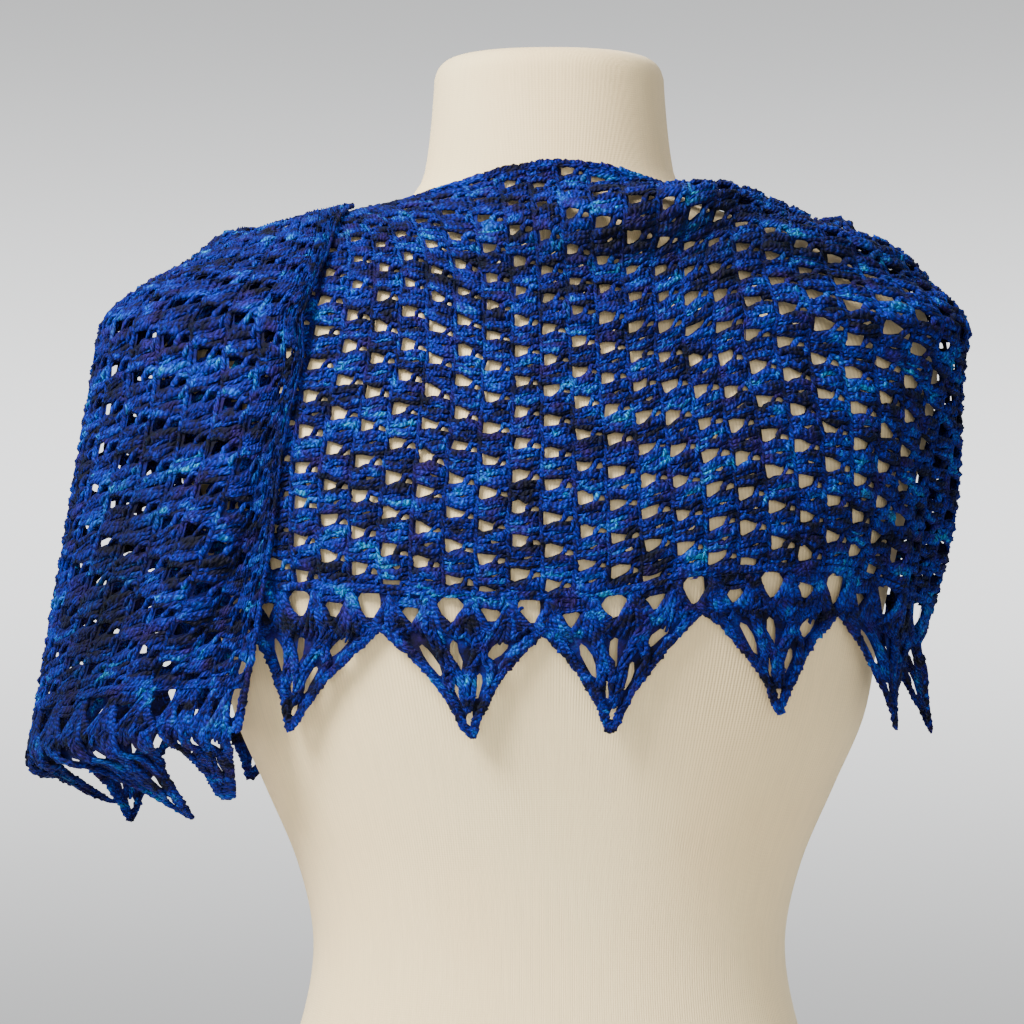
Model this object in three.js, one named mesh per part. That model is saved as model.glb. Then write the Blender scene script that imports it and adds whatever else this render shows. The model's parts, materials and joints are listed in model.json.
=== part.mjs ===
// A crocheted capelet on a limbless dress form. Millimetres, +Z up, the wearer faces -Y.
// The capelet is one long strip wound round the shoulders. It starts under the overlap at the
// wearer's right front, crosses the chest, goes round the left shoulder and the back, and ends
// over the right shoulder in a free edge that hangs down the front.
// The origin is the centre of the form's flat base.
import * as THREE from 'three';

// Dress form: one row for each ring. Half width is along X, and front and back are depths along Y.
const FORM_RINGS = [
  { z: 0, halfWidth: 172, front: 108, back: 119 },
  { z: 40, halfWidth: 170, front: 108, back: 120 },
  { z: 90, halfWidth: 158, front: 103, back: 117 },
  { z: 140, halfWidth: 139, front: 95, back: 106 },
  { z: 187, halfWidth: 124, front: 89, back: 90 },
  { z: 222, halfWidth: 120, front: 87, back: 80 },
  { z: 260, halfWidth: 128, front: 90, back: 80 },
  { z: 300, halfWidth: 145, front: 98, back: 84 },
  { z: 335, halfWidth: 160, front: 107, back: 90 },
  { z: 380, halfWidth: 168, front: 119, back: 99 },
  { z: 420, halfWidth: 177, front: 123, back: 105 },
  { z: 464, halfWidth: 189, front: 116, back: 109 },
  { z: 500, halfWidth: 197, front: 105, back: 106 },
  { z: 530, halfWidth: 194, front: 94, back: 98 },
  { z: 548, halfWidth: 184, front: 86, back: 90 },
  { z: 562, halfWidth: 165, front: 80, back: 84 },
  { z: 574, halfWidth: 139, front: 75, back: 77 },
  { z: 583, halfWidth: 109, front: 70, back: 70 },
  { z: 590, halfWidth: 85, front: 66, back: 65.5 },
  { z: 597, halfWidth: 71, front: 63.5, back: 62.5 },
  { z: 605, halfWidth: 65, front: 62, back: 61 },
  { z: 615, halfWidth: 62.5, front: 60.5, back: 59.5 },
  { z: 630, halfWidth: 60.5, front: 59, back: 58 },
  { z: 650, halfWidth: 58.8, front: 57.5, back: 57 },
  { z: 667, halfWidth: 58, front: 57, back: 56.5 },
];
const FORM_ROUNDNESS = 2.15; // exponent of each ring's outline: 2 is an ellipse, more is squarer
const FORM_SIDES = 40;
const FORM_RING_STEP = 24;
const SHOULDER_RING_STEP = 8;
const SHOULDER_RINGS = { from: 552, to: 632 };
const NECK_RIM_RADIUS = 10; // the rounded edge under the neck's flat top
const NECK_RIM_STEPS = 4;
const BASE_RIM_RADIUS = 4; // the rounded edge round the flat base

// Strip: a crocheted net of cells, a band with larger holes, and a border of points.
const CELL_WIDTH = 15.2; // along the strip
const CELL_HEIGHT = 16.3; // from neck to hem
const CELLS_PER_POINT = 5;
const POINT_COUNT = 15.5; // the strip ends in half a point at its free edge
const CELLS_DEEP = 14;
const NET_DEPTH = CELLS_DEEP * CELL_HEIGHT;
const POINT_WIDTH = CELLS_PER_POINT * CELL_WIDTH;
const STRIP_LENGTH = POINT_COUNT * POINT_WIDTH;
const BAND_DEPTH = 20;
const POINT_DEPTH = 52;
const POINT_TIP_WIDTH = 8;
const CLOTH_THICKNESS = 3;
const SEAM_GAP = 0.3;
const EDGE_WIDTH = 4.5; // the roped edge along the neckline and on the strip's two ends
const EDGE_THICKNESS = 3.4;
const NET_ROWS = 12; // rows of cells in the solid net
const POINT_HOLLOW = 1.6; // 1 makes straight sides, and more makes them hollow

// How the strip is worn. Angles are in degrees in plan: 0 is the front, 90 the wearer's left,
// 180 the back and 270 the wearer's right. The overlap comes round again at over 270.
const HEM_START_ANGLE = -87;
const HEM_HEIGHT = 380; // the height at which the strip's length is laid out round the form
const FORM_CLEARANCE = 1.6;
const OVERLAP_CLEARANCE = 5.8; // the overlap lies on another thickness of cloth
const OVERLAP_RAMP = { from: 222, to: 252 };
const SWING = 5; // how soon a column of cells swings from its neck angle towards its turn angle
const RETURN = 1.3; // and how late it swings on to its hem angle
const FULLNESS = { from: 6 * POINT_WIDTH, to: 8 * POINT_WIDTH, ease: 1.042 }; // taken up by waves
const PATH_STEPS = 100; // in one column, from the neckline to the bottom of the band
const COLUMN_STEP = 4; // between the columns that are worked out
const DRAPE_STEP = 2;
const DRAPE_TOP = 640;

// Where each column of cells starts on the neckline, by the angle at which it meets the hem, and
// how high the bottom of the band is there. turn is the angle it swings to below the shoulder.
const NECKLINE = [
  { hem: -90, neck: -100, turn: -90, height: 577, hemHeight: 384 },
  { hem: -60, neck: -88, turn: -60, height: 580, hemHeight: 382 },
  { hem: -32, neck: -68, turn: -32, height: 586, hemHeight: 381 },
  { hem: -10, neck: -24, turn: -10, height: 601, hemHeight: 380 },
  { hem: 10, neck: 12, turn: 10, height: 605, hemHeight: 381 },
  { hem: 28, neck: 50, turn: 28, height: 597, hemHeight: 389 },
  { hem: 46, neck: 82, turn: 46, height: 587, hemHeight: 391 },
  { hem: 66, neck: 93, turn: 66, height: 577.5, hemHeight: 386 },
  { hem: 86, neck: 99, turn: 86, height: 574, hemHeight: 374 },
  { hem: 106, neck: 112, turn: 106, height: 586, hemHeight: 372 },
  { hem: 130, neck: 130, turn: 130, height: 602, hemHeight: 374 },
  { hem: 155, neck: 154, turn: 155, height: 614, hemHeight: 376 },
  { hem: 180, neck: 180, turn: 180, height: 618, hemHeight: 378 },
  { hem: 205, neck: 206, turn: 205, height: 614, hemHeight: 372 },
  { hem: 230, neck: 232, turn: 230, height: 600, hemHeight: 350 },
  { hem: 250, neck: 250, turn: 250, height: 584, hemHeight: 328 },
  { hem: 266, neck: 262, turn: 270, height: 573, hemHeight: 310 },
  { hem: 280, neck: 272, turn: 292, height: 577, hemHeight: 322 },
  { hem: 292, neck: 284, turn: 312, height: 585, hemHeight: 332 },
  { hem: 302, neck: 291.5, turn: 312, height: 588, hemHeight: 332 },
];
// How the cloth hangs at each angle: how far it stands off below the shoulder, and how far it
// flares out (or in, below 0) for each millimetre that it falls.
const HANG = [
  { angle: -100, standOff: 1, flare: -0.05 },
  { angle: -45, standOff: 1, flare: -0.08 },
  { angle: 0, standOff: 2, flare: -0.09 },
  { angle: 45, standOff: 5, flare: -0.13 },
  { angle: 70, standOff: 11, flare: -0.17 },
  { angle: 90, standOff: 16, flare: -0.17 },
  { angle: 115, standOff: 10, flare: -0.1 },
  { angle: 150, standOff: 4, flare: -0.05 },
  { angle: 180, standOff: 3, flare: -0.02 },
  { angle: 215, standOff: 6, flare: 0.02 },
  { angle: 245, standOff: 15, flare: 0.1 },
  { angle: 270, standOff: 26, flare: 0.17 },
  { angle: 292, standOff: 17, flare: 0.1 },
  { angle: 310, standOff: 6, flare: 0.02 },
  { angle: 330, standOff: 4, flare: 0 },
];
const STAND_OFF_STARTS = 575;
const STAND_OFF_FULL = 528;

// Soft folds, as ridges along the strip. at and depth are the ridge's middle, in millimetres along
// the strip and down from the neckline, and slant is how far it drops for each millimetre along.
const FOLDS = [
  { name: 'chin cowl', at: 295, depth: 31, halfLength: 150, halfWidth: 32, height: 15, slant: -0.06 },
  { name: 'shoulder cowl', at: 400, depth: 52, halfLength: 110, halfWidth: 26, height: 9, slant: -0.18 },
  { name: 'left shoulder roll', at: 448, depth: 3, halfLength: 46, halfWidth: 26, height: 15, slant: 0 },
  { name: 'left sleeve fold', at: 470, depth: 190, halfLength: 30, halfWidth: 95, height: 9, slant: 0.2 },
  { name: 'left hem wave', at: 425, depth: 225, halfLength: 24, halfWidth: 70, height: 8, slant: 0 },
  { name: 'left back wave', at: 535, depth: 205, halfLength: 30, halfWidth: 110, height: 11, slant: 0 },
  { name: 'back neck roll', at: 655, depth: 14, halfLength: 120, halfWidth: 22, height: 7, slant: 0 },
  { name: 'back middle wave', at: 650, depth: 215, halfLength: 32, halfWidth: 120, height: 10, slant: 0 },
  { name: 'back right wave', at: 765, depth: 205, halfLength: 36, halfWidth: 120, height: 13, slant: 0 },
  { name: 'right shoulder roll', at: 1010, depth: 4, halfLength: 60, halfWidth: 28, height: 10, slant: 0 },
  { name: 'overlap back wave', at: 885, depth: 210, halfLength: 34, halfWidth: 120, height: 12, slant: 0 },
  { name: 'overlap front', at: 1122, depth: 170, halfLength: 24, halfWidth: 105, height: 9, slant: 0 },
  { name: 'overlap edge roll', at: 1206, depth: 130, halfLength: 16, halfWidth: 140, height: 5, slant: 0 },
];
// How the points hang: sway moves a tip along the strip and curl turns a point in towards the form.
const POINTS = [
  { sway: 0, curl: 2 },
  { sway: -17, curl: 3 },
  { sway: 3, curl: 4 },
  { sway: -4, curl: 3 },
  { sway: 9, curl: 3 },
  { sway: 18, curl: -8 },
  { sway: -6, curl: -24 },
  { sway: 6, curl: 4 },
  { sway: -4, curl: 2 },
  { sway: 5, curl: 5 },
  { sway: -7, curl: 3 },
  { sway: 4, curl: 5 },
  { sway: -5, curl: 6 },
  { sway: 26, curl: 80 },
  { sway: 40, curl: 66 },
  { sway: -2, curl: 45 },
];
// Holes that are cut: columns and rows of the grid of one repeat, counted from 0.
const BAND_COLUMNS = 8;
const BAND_ROWS = [0, 2.5, 8, 15, BAND_DEPTH];
const BAND_HOLES = [[1, 2], [3, 1], [3, 2], [5, 2], [7, 1], [7, 2]];
const POINT_ROWS = [0, 5, 14, 20, 25, 31, 36, 47, POINT_DEPTH];
const POINT_HOLES = [[1, 1], [1, 2], [3, 1], [3, 2], [6, 1], [2, 4], [5, 3], [5, 4], [3, 6], [4, 6]];

const { degToRad: radians, radToDeg, lerp, clamp, smoothstep } = THREE.MathUtils;

// A column of a table, followed smoothly between its rows and held at its ends.
function follow(table, key, column, at) {
  const last = table.length - 1;
  if (at <= table[0][key]) return table[0][column];
  if (at >= table[last][key]) return table[last][column];
  const i = table.findIndex((row) => row[key] > at) - 1;
  const slope = (j) => {
    const a = table[Math.max(j - 1, 0)];
    const b = table[Math.min(j + 1, last)];
    return (b[column] - a[column]) / (b[key] - a[key]);
  };
  const span = table[i + 1][key] - table[i][key];
  const u = (at - table[i][key]) / span;
  return table[i][column] * (1 + 2 * u) * (1 - u) ** 2
    + slope(i) * span * u * (1 - u) ** 2
    + table[i + 1][column] * u * u * (3 - 2 * u)
    + slope(i + 1) * span * u * u * (u - 1);
}

// The form's radius in plan at an angle and a height.
function formRadius(angle, z) {
  const halfWidth = follow(FORM_RINGS, 'z', 'halfWidth', z);
  const depth = follow(FORM_RINGS, 'z', Math.cos(radians(angle)) > 0 ? 'front' : 'back', z);
  const across = Math.abs(Math.sin(radians(angle))) / halfWidth;
  const along = Math.abs(Math.cos(radians(angle))) / depth;
  return (across ** FORM_ROUNDNESS + along ** FORM_ROUNDNESS) ** (-1 / FORM_ROUNDNESS);
}

// The inside of the cloth at each whole degree: radii from the top down. It lies on the form, then
// stands off below the shoulder and falls with its own flare.
const drapeAt = new Map();
function drapeColumn(degree) {
  if (drapeAt.has(degree)) return drapeAt.get(degree);
  const { from, to } = OVERLAP_RAMP;
  const layer = lerp(FORM_CLEARANCE, OVERLAP_CLEARANCE, smoothstep(degree, from, to));
  const standOff = follow(HANG, 'angle', 'standOff', degree);
  const flare = follow(HANG, 'angle', 'flare', degree);
  const radii = [];
  const onForm = (z) => {
    const [wider, narrower] = [z - DRAPE_STEP, z + DRAPE_STEP].map((height) => formRadius(degree, height));
    const slope = (wider - narrower) / (2 * DRAPE_STEP);
    return formRadius(degree, z) + layer * Math.hypot(1, slope);
  };
  for (let z = DRAPE_TOP; z > 0; z -= DRAPE_STEP) {
    if (z > STAND_OFF_FULL) {
      radii.push(onForm(z) + standOff * (1 - smoothstep(z, STAND_OFF_FULL, STAND_OFF_STARTS)));
    } else radii.push(Math.max(onForm(z), radii[radii.length - 1] + flare * DRAPE_STEP));
  }
  drapeAt.set(degree, radii);
  return radii;
}

function drapeRadius(angle, z) {
  const degree = Math.floor(angle);
  const place = (DRAPE_TOP - z) / DRAPE_STEP;
  const row = Math.floor(place);
  const [lower, upper] = [drapeColumn(degree), drapeColumn(degree + 1)].map(
    (radii) => lerp(radii[row], radii[row + 1], place - row));
  return lerp(lower, upper, angle - degree);
}

// The hem angle of each millimetre along the strip, laid out by length round the form.
const hemAngles = [HEM_START_ANGLE];
for (let along = 0; along < STRIP_LENGTH + 2 * EDGE_WIDTH; along += 1) {
  const angle = hemAngles[hemAngles.length - 1];
  const radius = drapeRadius(angle, HEM_HEIGHT);
  const turn = (drapeRadius(angle + 1, HEM_HEIGHT) - radius) / radians(1);
  const ease = lerp(1, FULLNESS.ease, smoothstep(along, FULLNESS.from, FULLNESS.to));
  hemAngles.push(angle + radToDeg(1 / (ease * Math.hypot(radius, turn))));
}

// One column of stitches: evenly spaced points from the neckline to the bottom of the band. It
// swings from its neck angle to its hem angle, and it falls evenly once it is off the shoulder.
const columnsMade = new Map();
function columnOf(index) {
  if (columnsMade.has(index)) return columnsMade.get(index);
  const at = clamp(index * COLUMN_STEP + EDGE_WIDTH, 0, hemAngles.length - 2);
  const hem = lerp(hemAngles[Math.floor(at)], hemAngles[Math.floor(at) + 1], at % 1);
  const [neck, turn, top, bottom] = ['neck', 'turn', 'height', 'hemHeight'].map(
    (name) => follow(NECKLINE, 'hem', name, hem));
  const path = [];
  const angleAt = (place) => (
    neck + (turn - neck) * (1 - (1 - place) ** SWING) + (hem - turn) * place ** RETURN);
  const placeAt = (angle, z) => {
    const radius = drapeRadius(angle, z);
    return new THREE.Vector3(radius * Math.sin(radians(angle)), -radius * Math.cos(radians(angle)), z);
  };
  const walk = (step) => {
    let z = top;
    path.length = 0;
    for (let i = 0; i <= PATH_STEPS; i += 1) {
      const angle = angleAt(i / PATH_STEPS);
      path.push(placeAt(angle, z));
      const sideways = path[i].distanceTo(placeAt(angleAt(Math.min(1, (i + 1) / PATH_STEPS)), z));
      const steepness = (drapeRadius(angle, z - DRAPE_STEP) - drapeRadius(angle, z)) / DRAPE_STEP;
      z -= Math.sqrt(Math.max(step ** 2 - sideways ** 2, (0.3 * step) ** 2)) / Math.hypot(1, steepness);
    }
    return path[PATH_STEPS].z - bottom;
  };
  let [short, long] = [1, 6];
  for (let tries = 0; tries < 18; tries += 1) {
    const middle = (short + long) / 2;
    if (walk(middle) > 0) short = middle; else long = middle;
  }
  const steepness = (drapeRadius(neck, top) - drapeRadius(neck, top + DRAPE_STEP)) / DRAPE_STEP;
  const made = { path, above: (depth) => placeAt(neck, top - depth / Math.hypot(1, steepness)) };
  columnsMade.set(index, made);
  return made;
}

// The strip where it lies or hangs without folds, for depths down to the bottom of the band.
function plainCloth(along, depth) {
  const columnPlace = along / COLUMN_STEP;
  const row = (clamp(depth / (NET_DEPTH + BAND_DEPTH), 0, 0.9999)) * PATH_STEPS;
  const [here, next] = [Math.floor(columnPlace), Math.floor(columnPlace) + 1].map((index) => {
    const { path, above } = columnOf(index);
    return depth < 0 ? above(depth) : path[Math.floor(row)].clone().lerp(path[Math.floor(row) + 1], row % 1);
  });
  return here.lerp(next, columnPlace - Math.floor(columnPlace));
}

// A smooth hump, 1 in the middle and 0 from 1 out.
const hump = (x) => (Math.abs(x) < 1 ? Math.cos((x * Math.PI) / 2) ** 2 : 0);

function foldHeight(along, depth) {
  return FOLDS.reduce((sum, fold) => sum + fold.height
    * hump((along - fold.at) / fold.halfLength)
    * hump((depth - fold.depth - fold.slant * (along - fold.at)) / fold.halfWidth), 0);
}

const NORMAL_STEP = 4;
function normalOf(surface, along, depth) {
  const sideways = surface(along + NORMAL_STEP, depth).sub(surface(along - NORMAL_STEP, depth));
  const down = surface(along, depth + NORMAL_STEP).sub(surface(along, depth - NORMAL_STEP));
  return down.cross(sideways).normalize();
}

function foldedCloth(along, depth) {
  const lift = foldHeight(along, depth);
  const point = plainCloth(along, depth);
  return lift > 0 ? point.addScaledVector(normalOf(plainCloth, along, depth), lift) : point;
}

// The surface of one of the border's points, which hangs on from the band, sways and curls.
function hangingPoint(index) {
  const { sway, curl } = POINTS[index];
  const bandEnd = NET_DEPTH + BAND_DEPTH;
  return (along, depth) => {
    if (depth <= bandEnd) return foldedCloth(along, depth);
    const start = foldedCloth(along, bandEnd);
    const down = start.clone().sub(foldedCloth(along, bandEnd - 2 * NORMAL_STEP)).normalize();
    const out = normalOf(foldedCloth, along, bandEnd - NORMAL_STEP);
    const sideways = new THREE.Vector3().crossVectors(out, down).normalize();
    const below = depth - bandEnd;
    const turned = radians(curl) * Math.min(1, below / 12);
    return start
      .addScaledVector(down, below * Math.cos(turned))
      .addScaledVector(out, -below * Math.sin(turned))
      .addScaledVector(sideways, sway * (below / POINT_DEPTH));
  };
}

function solidOf(positions, faces) {
  const geometry = new THREE.BufferGeometry();
  geometry.setAttribute('position', new THREE.Float32BufferAttribute(positions, 3));
  geometry.setIndex(faces);
  return geometry;
}

// A closed wall over a grid of cells. cornerOf(i, j, cell) gives a corner's name, its surface and
// its place there, and cut(i, j) is true for a cell that is left open.
function wallGeometry(columnCount, rowCount, cornerOf, thickness, cut = () => false) {
  const positions = [];
  const found = new Map();
  const corner = (i, j, cell) => {
    const { name, surface, along, depth } = cornerOf(i, j, cell);
    if (!found.has(name)) {
      found.set(name, positions.length);
      const inner = surface(along, depth);
      positions.push(inner, inner.clone().addScaledVector(normalOf(surface, along, depth), thickness));
    }
    return found.get(name);
  };
  const there = (i, j) => i >= 0 && j >= 0 && i < columnCount && j < rowCount && !cut(i, j);
  const joined = (i, j, nextI, nextJ) => there(nextI, nextJ)
    && corner(Math.max(i, nextI), j + 1, i) === corner(Math.max(i, nextI), j + 1, nextI);
  const faces = [];
  const quad = (a, b, c, d) => faces.push(a, b, c, a, c, d);
  for (let i = 0; i < columnCount; i += 1) {
    for (let j = 0; j < rowCount; j += 1) {
      if (!there(i, j)) continue;
      const inner = [corner(i, j, i), corner(i, j + 1, i), corner(i + 1, j + 1, i), corner(i + 1, j, i)];
      const outer = inner.map((index) => index + 1);
      quad(outer[0], outer[1], outer[2], outer[3]);
      quad(inner[3], inner[2], inner[1], inner[0]);
      const whole = [joined(i, j, i - 1, j), there(i, j + 1), joined(i, j, i + 1, j), there(i, j - 1)];
      whole.forEach((isWhole, side) => {
        const next = (side + 1) % 4;
        if (isWhole) return;
        // The diagonal runs the same way on both sides of a seam.
        if (side === 1 || side === 2) quad(inner[side], inner[next], outer[next], outer[side]);
        else quad(outer[side], inner[side], inner[next], outer[next]);
      });
    }
  }
  return solidOf(positions.flatMap((p) => [p.x, p.y, p.z]), faces);
}

// A plain stretch of cloth between two places along, with a row of cells between each two depths.
function stretchGeometry(from, to, depths, thickness) {
  const columnCount = Math.max(1, Math.round((to - from) / CELL_WIDTH));
  return wallGeometry(columnCount, depths.length - 1, (i, j) => ({
    name: `${i} ${j}`,
    surface: foldedCloth,
    along: lerp(from, to, i / columnCount),
    depth: depths[j],
  }), thickness);
}

// The band and the points of a stretch, with the holes that are cut through them.
function borderGeometry(firstPoint, endPoint, startInset, endInset) {
  const rows = [...BAND_ROWS, ...POINT_ROWS.slice(1).map((depth) => depth + BAND_DEPTH)];
  const bandRows = BAND_ROWS.length - 1;
  const holes = new Set([...BAND_HOLES, ...POINT_HOLES.map(([i, j]) => [i, j + bandRows])].map(String));
  const surfaces = POINTS.map((_, index) => hangingPoint(index));
  const cornerOf = (i, j, cell) => {
    const point = firstPoint + Math.floor(cell / BAND_COLUMNS);
    const across = (i - (point - firstPoint) * BAND_COLUMNS) / BAND_COLUMNS - 0.5;
    const below = Math.max(0, rows[j] - BAND_DEPTH) / POINT_DEPTH;
    const width = POINT_TIP_WIDTH + (POINT_WIDTH - POINT_TIP_WIDTH) * (1 - below) ** POINT_HOLLOW;
    const half = (point + 0.5) * POINT_WIDTH === STRIP_LENGTH;
    const along = (point + 0.5) * POINT_WIDTH + (half ? across / 2 - 0.25 : across) * width;
    return {
      name: j <= bandRows ? `${i} ${j}` : `${i} ${j} ${point}`,
      surface: j <= bandRows ? foldedCloth : surfaces[point],
      along: clamp(along, firstPoint * POINT_WIDTH + startInset, STRIP_LENGTH - endInset),
      depth: NET_DEPTH + Math.max(rows[j], SEAM_GAP),
    };
  };
  return wallGeometry((endPoint - firstPoint) * BAND_COLUMNS, rows.length - 1, cornerOf, CLOTH_THICKNESS,
    (i, j) => holes.has(String([i % BAND_COLUMNS, j])));
}

// The dress form: its rings joined from the flat base up, with a rounded rim under the flat neck.
function formGeometry() {
  const rings = [];
  const top = FORM_RINGS[FORM_RINGS.length - 1].z;
  for (let step = 0; step <= 2; step += 1) {
    const turn = radians(step * 45);
    rings.push({ z: BASE_RIM_RADIUS * (1 - Math.cos(turn)), inset: BASE_RIM_RADIUS * (1 - Math.sin(turn)) });
  }
  for (let z = FORM_RING_STEP; z < top - NECK_RIM_RADIUS - 3;) {
    rings.push({ z, inset: 0 });
    z += z >= SHOULDER_RINGS.from && z < SHOULDER_RINGS.to ? SHOULDER_RING_STEP : FORM_RING_STEP;
  }
  for (let step = 0; step <= NECK_RIM_STEPS; step += 1) {
    const turn = radians((step * 90) / NECK_RIM_STEPS);
    const [up, inwards] = [Math.sin(turn), 1 - Math.cos(turn)];
    rings.push({ z: top - NECK_RIM_RADIUS * (1 - up), inset: NECK_RIM_RADIUS * inwards });
  }
  const positions = rings.flatMap(({ z, inset }) => Array.from({ length: FORM_SIDES }, (_, side) => {
    const angle = (side * 360) / FORM_SIDES;
    const radius = formRadius(angle, z) - inset;
    return [radius * Math.sin(radians(angle)), -radius * Math.cos(radians(angle)), z];
  }).flat());
  const base = rings.length * FORM_SIDES;
  positions.push(0, 0, 0, 0, 0, top);
  const faces = [];
  for (let side = 0; side < FORM_SIDES; side += 1) {
    const next = (side + 1) % FORM_SIDES;
    faces.push(base, next, side);
    faces.push(base + 1, base - FORM_SIDES + side, base - FORM_SIDES + next);
    for (let ring = 0; ring < rings.length - 1; ring += 1) {
      const low = ring * FORM_SIDES;
      const high = low + FORM_SIDES;
      faces.push(low + side, low + next, high + next, low + side, high + next, high + side);
    }
  }
  return solidOf(positions, faces);
}

const group = new THREE.Group();
const jersey = new THREE.MeshStandardMaterial({ color: 0xe9ddc6, roughness: 0.85, metalness: 0 });
const wool = new THREE.MeshStandardMaterial({ color: 0x17338f, roughness: 0.9, metalness: 0 });
const edging = new THREE.MeshStandardMaterial({ color: 0x1b46a6, roughness: 0.9, metalness: 0 });

function add(name, geometry, material) {
  geometry.computeVertexNormals();
  const mesh = new THREE.Mesh(geometry, material);
  mesh.name = name;
  group.add(mesh);
}

add('dress_form', formGeometry(), jersey);
const netDepths = Array.from({ length: NET_ROWS + 1 }, (_, row) => (row * NET_DEPTH) / NET_ROWS);
const neckDepths = [-EDGE_WIDTH - SEAM_GAP, -SEAM_GAP];
const stretches = [
  { name: 'front', first: 0, end: 6, startInset: 0, endInset: SEAM_GAP / 2 },
  { name: 'back', first: 6, end: 12, startInset: SEAM_GAP / 2, endInset: SEAM_GAP / 2 },
  { name: 'overlap', first: 12, end: 16, startInset: SEAM_GAP / 2, endInset: 0 },
];
stretches.forEach(({ name, first, end, startInset, endInset }) => {
  const from = first * POINT_WIDTH + startInset;
  const to = Math.min(end * POINT_WIDTH, STRIP_LENGTH) - endInset;
  add(`${name}_net`, stretchGeometry(from, to, netDepths, CLOTH_THICKNESS), wool);
  add(`${name}_border`, borderGeometry(first, end, startInset, endInset), edging);
  add(`${name}_neck_edge`, stretchGeometry(from, to, neckDepths, EDGE_THICKNESS), edging);
});
const endDepths = [...netDepths, NET_DEPTH + BAND_DEPTH];
const freeEnd = STRIP_LENGTH + SEAM_GAP;
add('start_edge', stretchGeometry(-EDGE_WIDTH - SEAM_GAP, -SEAM_GAP, endDepths, EDGE_THICKNESS), edging);
add('free_edge', stretchGeometry(freeEnd, freeEnd + EDGE_WIDTH, endDepths, EDGE_THICKNESS), edging);

export default group;
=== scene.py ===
"""A crocheted capelet on a dress form: wool stitches laid on the draped strip, and the form in its cover."""
import json
import math
import random

import bmesh
import bpy
import numpy as np
from bpy.props import FloatProperty, FloatVectorProperty, IntProperty, PointerProperty
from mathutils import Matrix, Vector
from mathutils.geometry import delaunay_2d_cdt

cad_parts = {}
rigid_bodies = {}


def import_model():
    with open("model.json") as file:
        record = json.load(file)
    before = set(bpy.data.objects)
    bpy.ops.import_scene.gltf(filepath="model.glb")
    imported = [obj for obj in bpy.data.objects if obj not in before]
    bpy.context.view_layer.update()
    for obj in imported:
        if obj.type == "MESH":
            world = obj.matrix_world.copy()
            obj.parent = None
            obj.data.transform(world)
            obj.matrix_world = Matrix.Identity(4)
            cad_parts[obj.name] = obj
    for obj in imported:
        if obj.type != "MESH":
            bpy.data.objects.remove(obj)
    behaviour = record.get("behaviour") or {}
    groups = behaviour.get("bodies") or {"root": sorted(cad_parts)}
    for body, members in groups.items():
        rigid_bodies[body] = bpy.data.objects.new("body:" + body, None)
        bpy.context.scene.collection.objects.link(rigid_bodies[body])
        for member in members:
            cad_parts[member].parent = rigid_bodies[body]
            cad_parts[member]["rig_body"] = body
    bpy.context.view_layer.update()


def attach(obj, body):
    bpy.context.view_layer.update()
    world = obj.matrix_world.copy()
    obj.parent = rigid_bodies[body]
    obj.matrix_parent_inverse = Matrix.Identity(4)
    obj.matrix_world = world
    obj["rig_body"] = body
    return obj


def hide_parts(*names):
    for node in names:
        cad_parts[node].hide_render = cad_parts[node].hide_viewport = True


bl_info = {
    "name": "Crocheted capelet",
    "version": (1, 0, 0),
    "blender": (4, 5, 0),
    "location": "3D View > Sidebar > Capelet",
    "description": "Lays crochet stitches on a draped strip and dresses its form",
    "category": "Object",
}

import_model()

# The form and the strip, in millimetres as in the part's source: z, half width, front, back.
FORM_RINGS = np.array((
    (0, 172, 108, 119), (40, 170, 108, 120), (90, 158, 103, 117), (140, 139, 95, 106), (187, 124, 89, 90),
    (222, 120, 87, 80), (260, 128, 90, 80), (300, 145, 98, 84), (335, 160, 107, 90), (380, 168, 119, 99),
    (420, 177, 123, 105), (464, 189, 116, 109), (500, 197, 105, 106), (530, 194, 94, 98), (548, 184, 86, 90),
    (562, 165, 80, 84), (574, 139, 75, 77), (583, 109, 70, 70), (590, 85, 66, 65.5), (597, 71, 63.5, 62.5),
    (605, 65, 62, 61), (615, 62.5, 60.5, 59.5), (630, 60.5, 59, 58), (650, 58.8, 57.5, 57),
    (667, 58, 57, 56.5)), float)
FORM_ROUNDNESS = 2.15
FORM_TOP = 667.0
NECK_RIM_RADIUS = 10.0
BASE_RIM_RADIUS = 4.0

CELL_WIDTH, CELL_HEIGHT, CELLS_PER_POINT, CELLS_DEEP = 15.2, 16.3, 5, 14
POINT_COUNT, WHOLE_POINTS, LAST_POINT_END = 15.5, 15, 16
NET_DEPTH = CELLS_DEEP * CELL_HEIGHT
POINT_WIDTH = CELLS_PER_POINT * CELL_WIDTH
STRIP_LENGTH = POINT_COUNT * POINT_WIDTH
BAND_DEPTH, POINT_DEPTH = 20.0, 52.0
POINT_TIP_WIDTH, POINT_HOLLOW = 8.0, 1.6
BAND_END, FULL_DEPTH = NET_DEPTH + BAND_DEPTH, NET_DEPTH + BAND_DEPTH + POINT_DEPTH
EDGE_WIDTH = 4.5

HEM_START_ANGLE, HEM_HEIGHT = -87.0, 380.0
FORM_CLEARANCE, OVERLAP_CLEARANCE, OVERLAP_RAMP = 1.6, 5.8, (222, 252)
SWING, RETURN = 5, 1.3
FULLNESS_FROM, FULLNESS_TO, FULLNESS = 6 * POINT_WIDTH, 8 * POINT_WIDTH, 1.042
PATH_STEPS, COLUMN_STEP, DRAPE_STEP, DRAPE_TOP = 100, 4.0, 2.0, 640.0
STAND_OFF_STARTS, STAND_OFF_FULL = 575.0, 528.0
COLUMNS_BEFORE, COLUMNS_SPARE, RISE_STEP = 4, 22, 4
PATCH_STEP, PATCH_MARGIN = 2.0, 8

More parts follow.
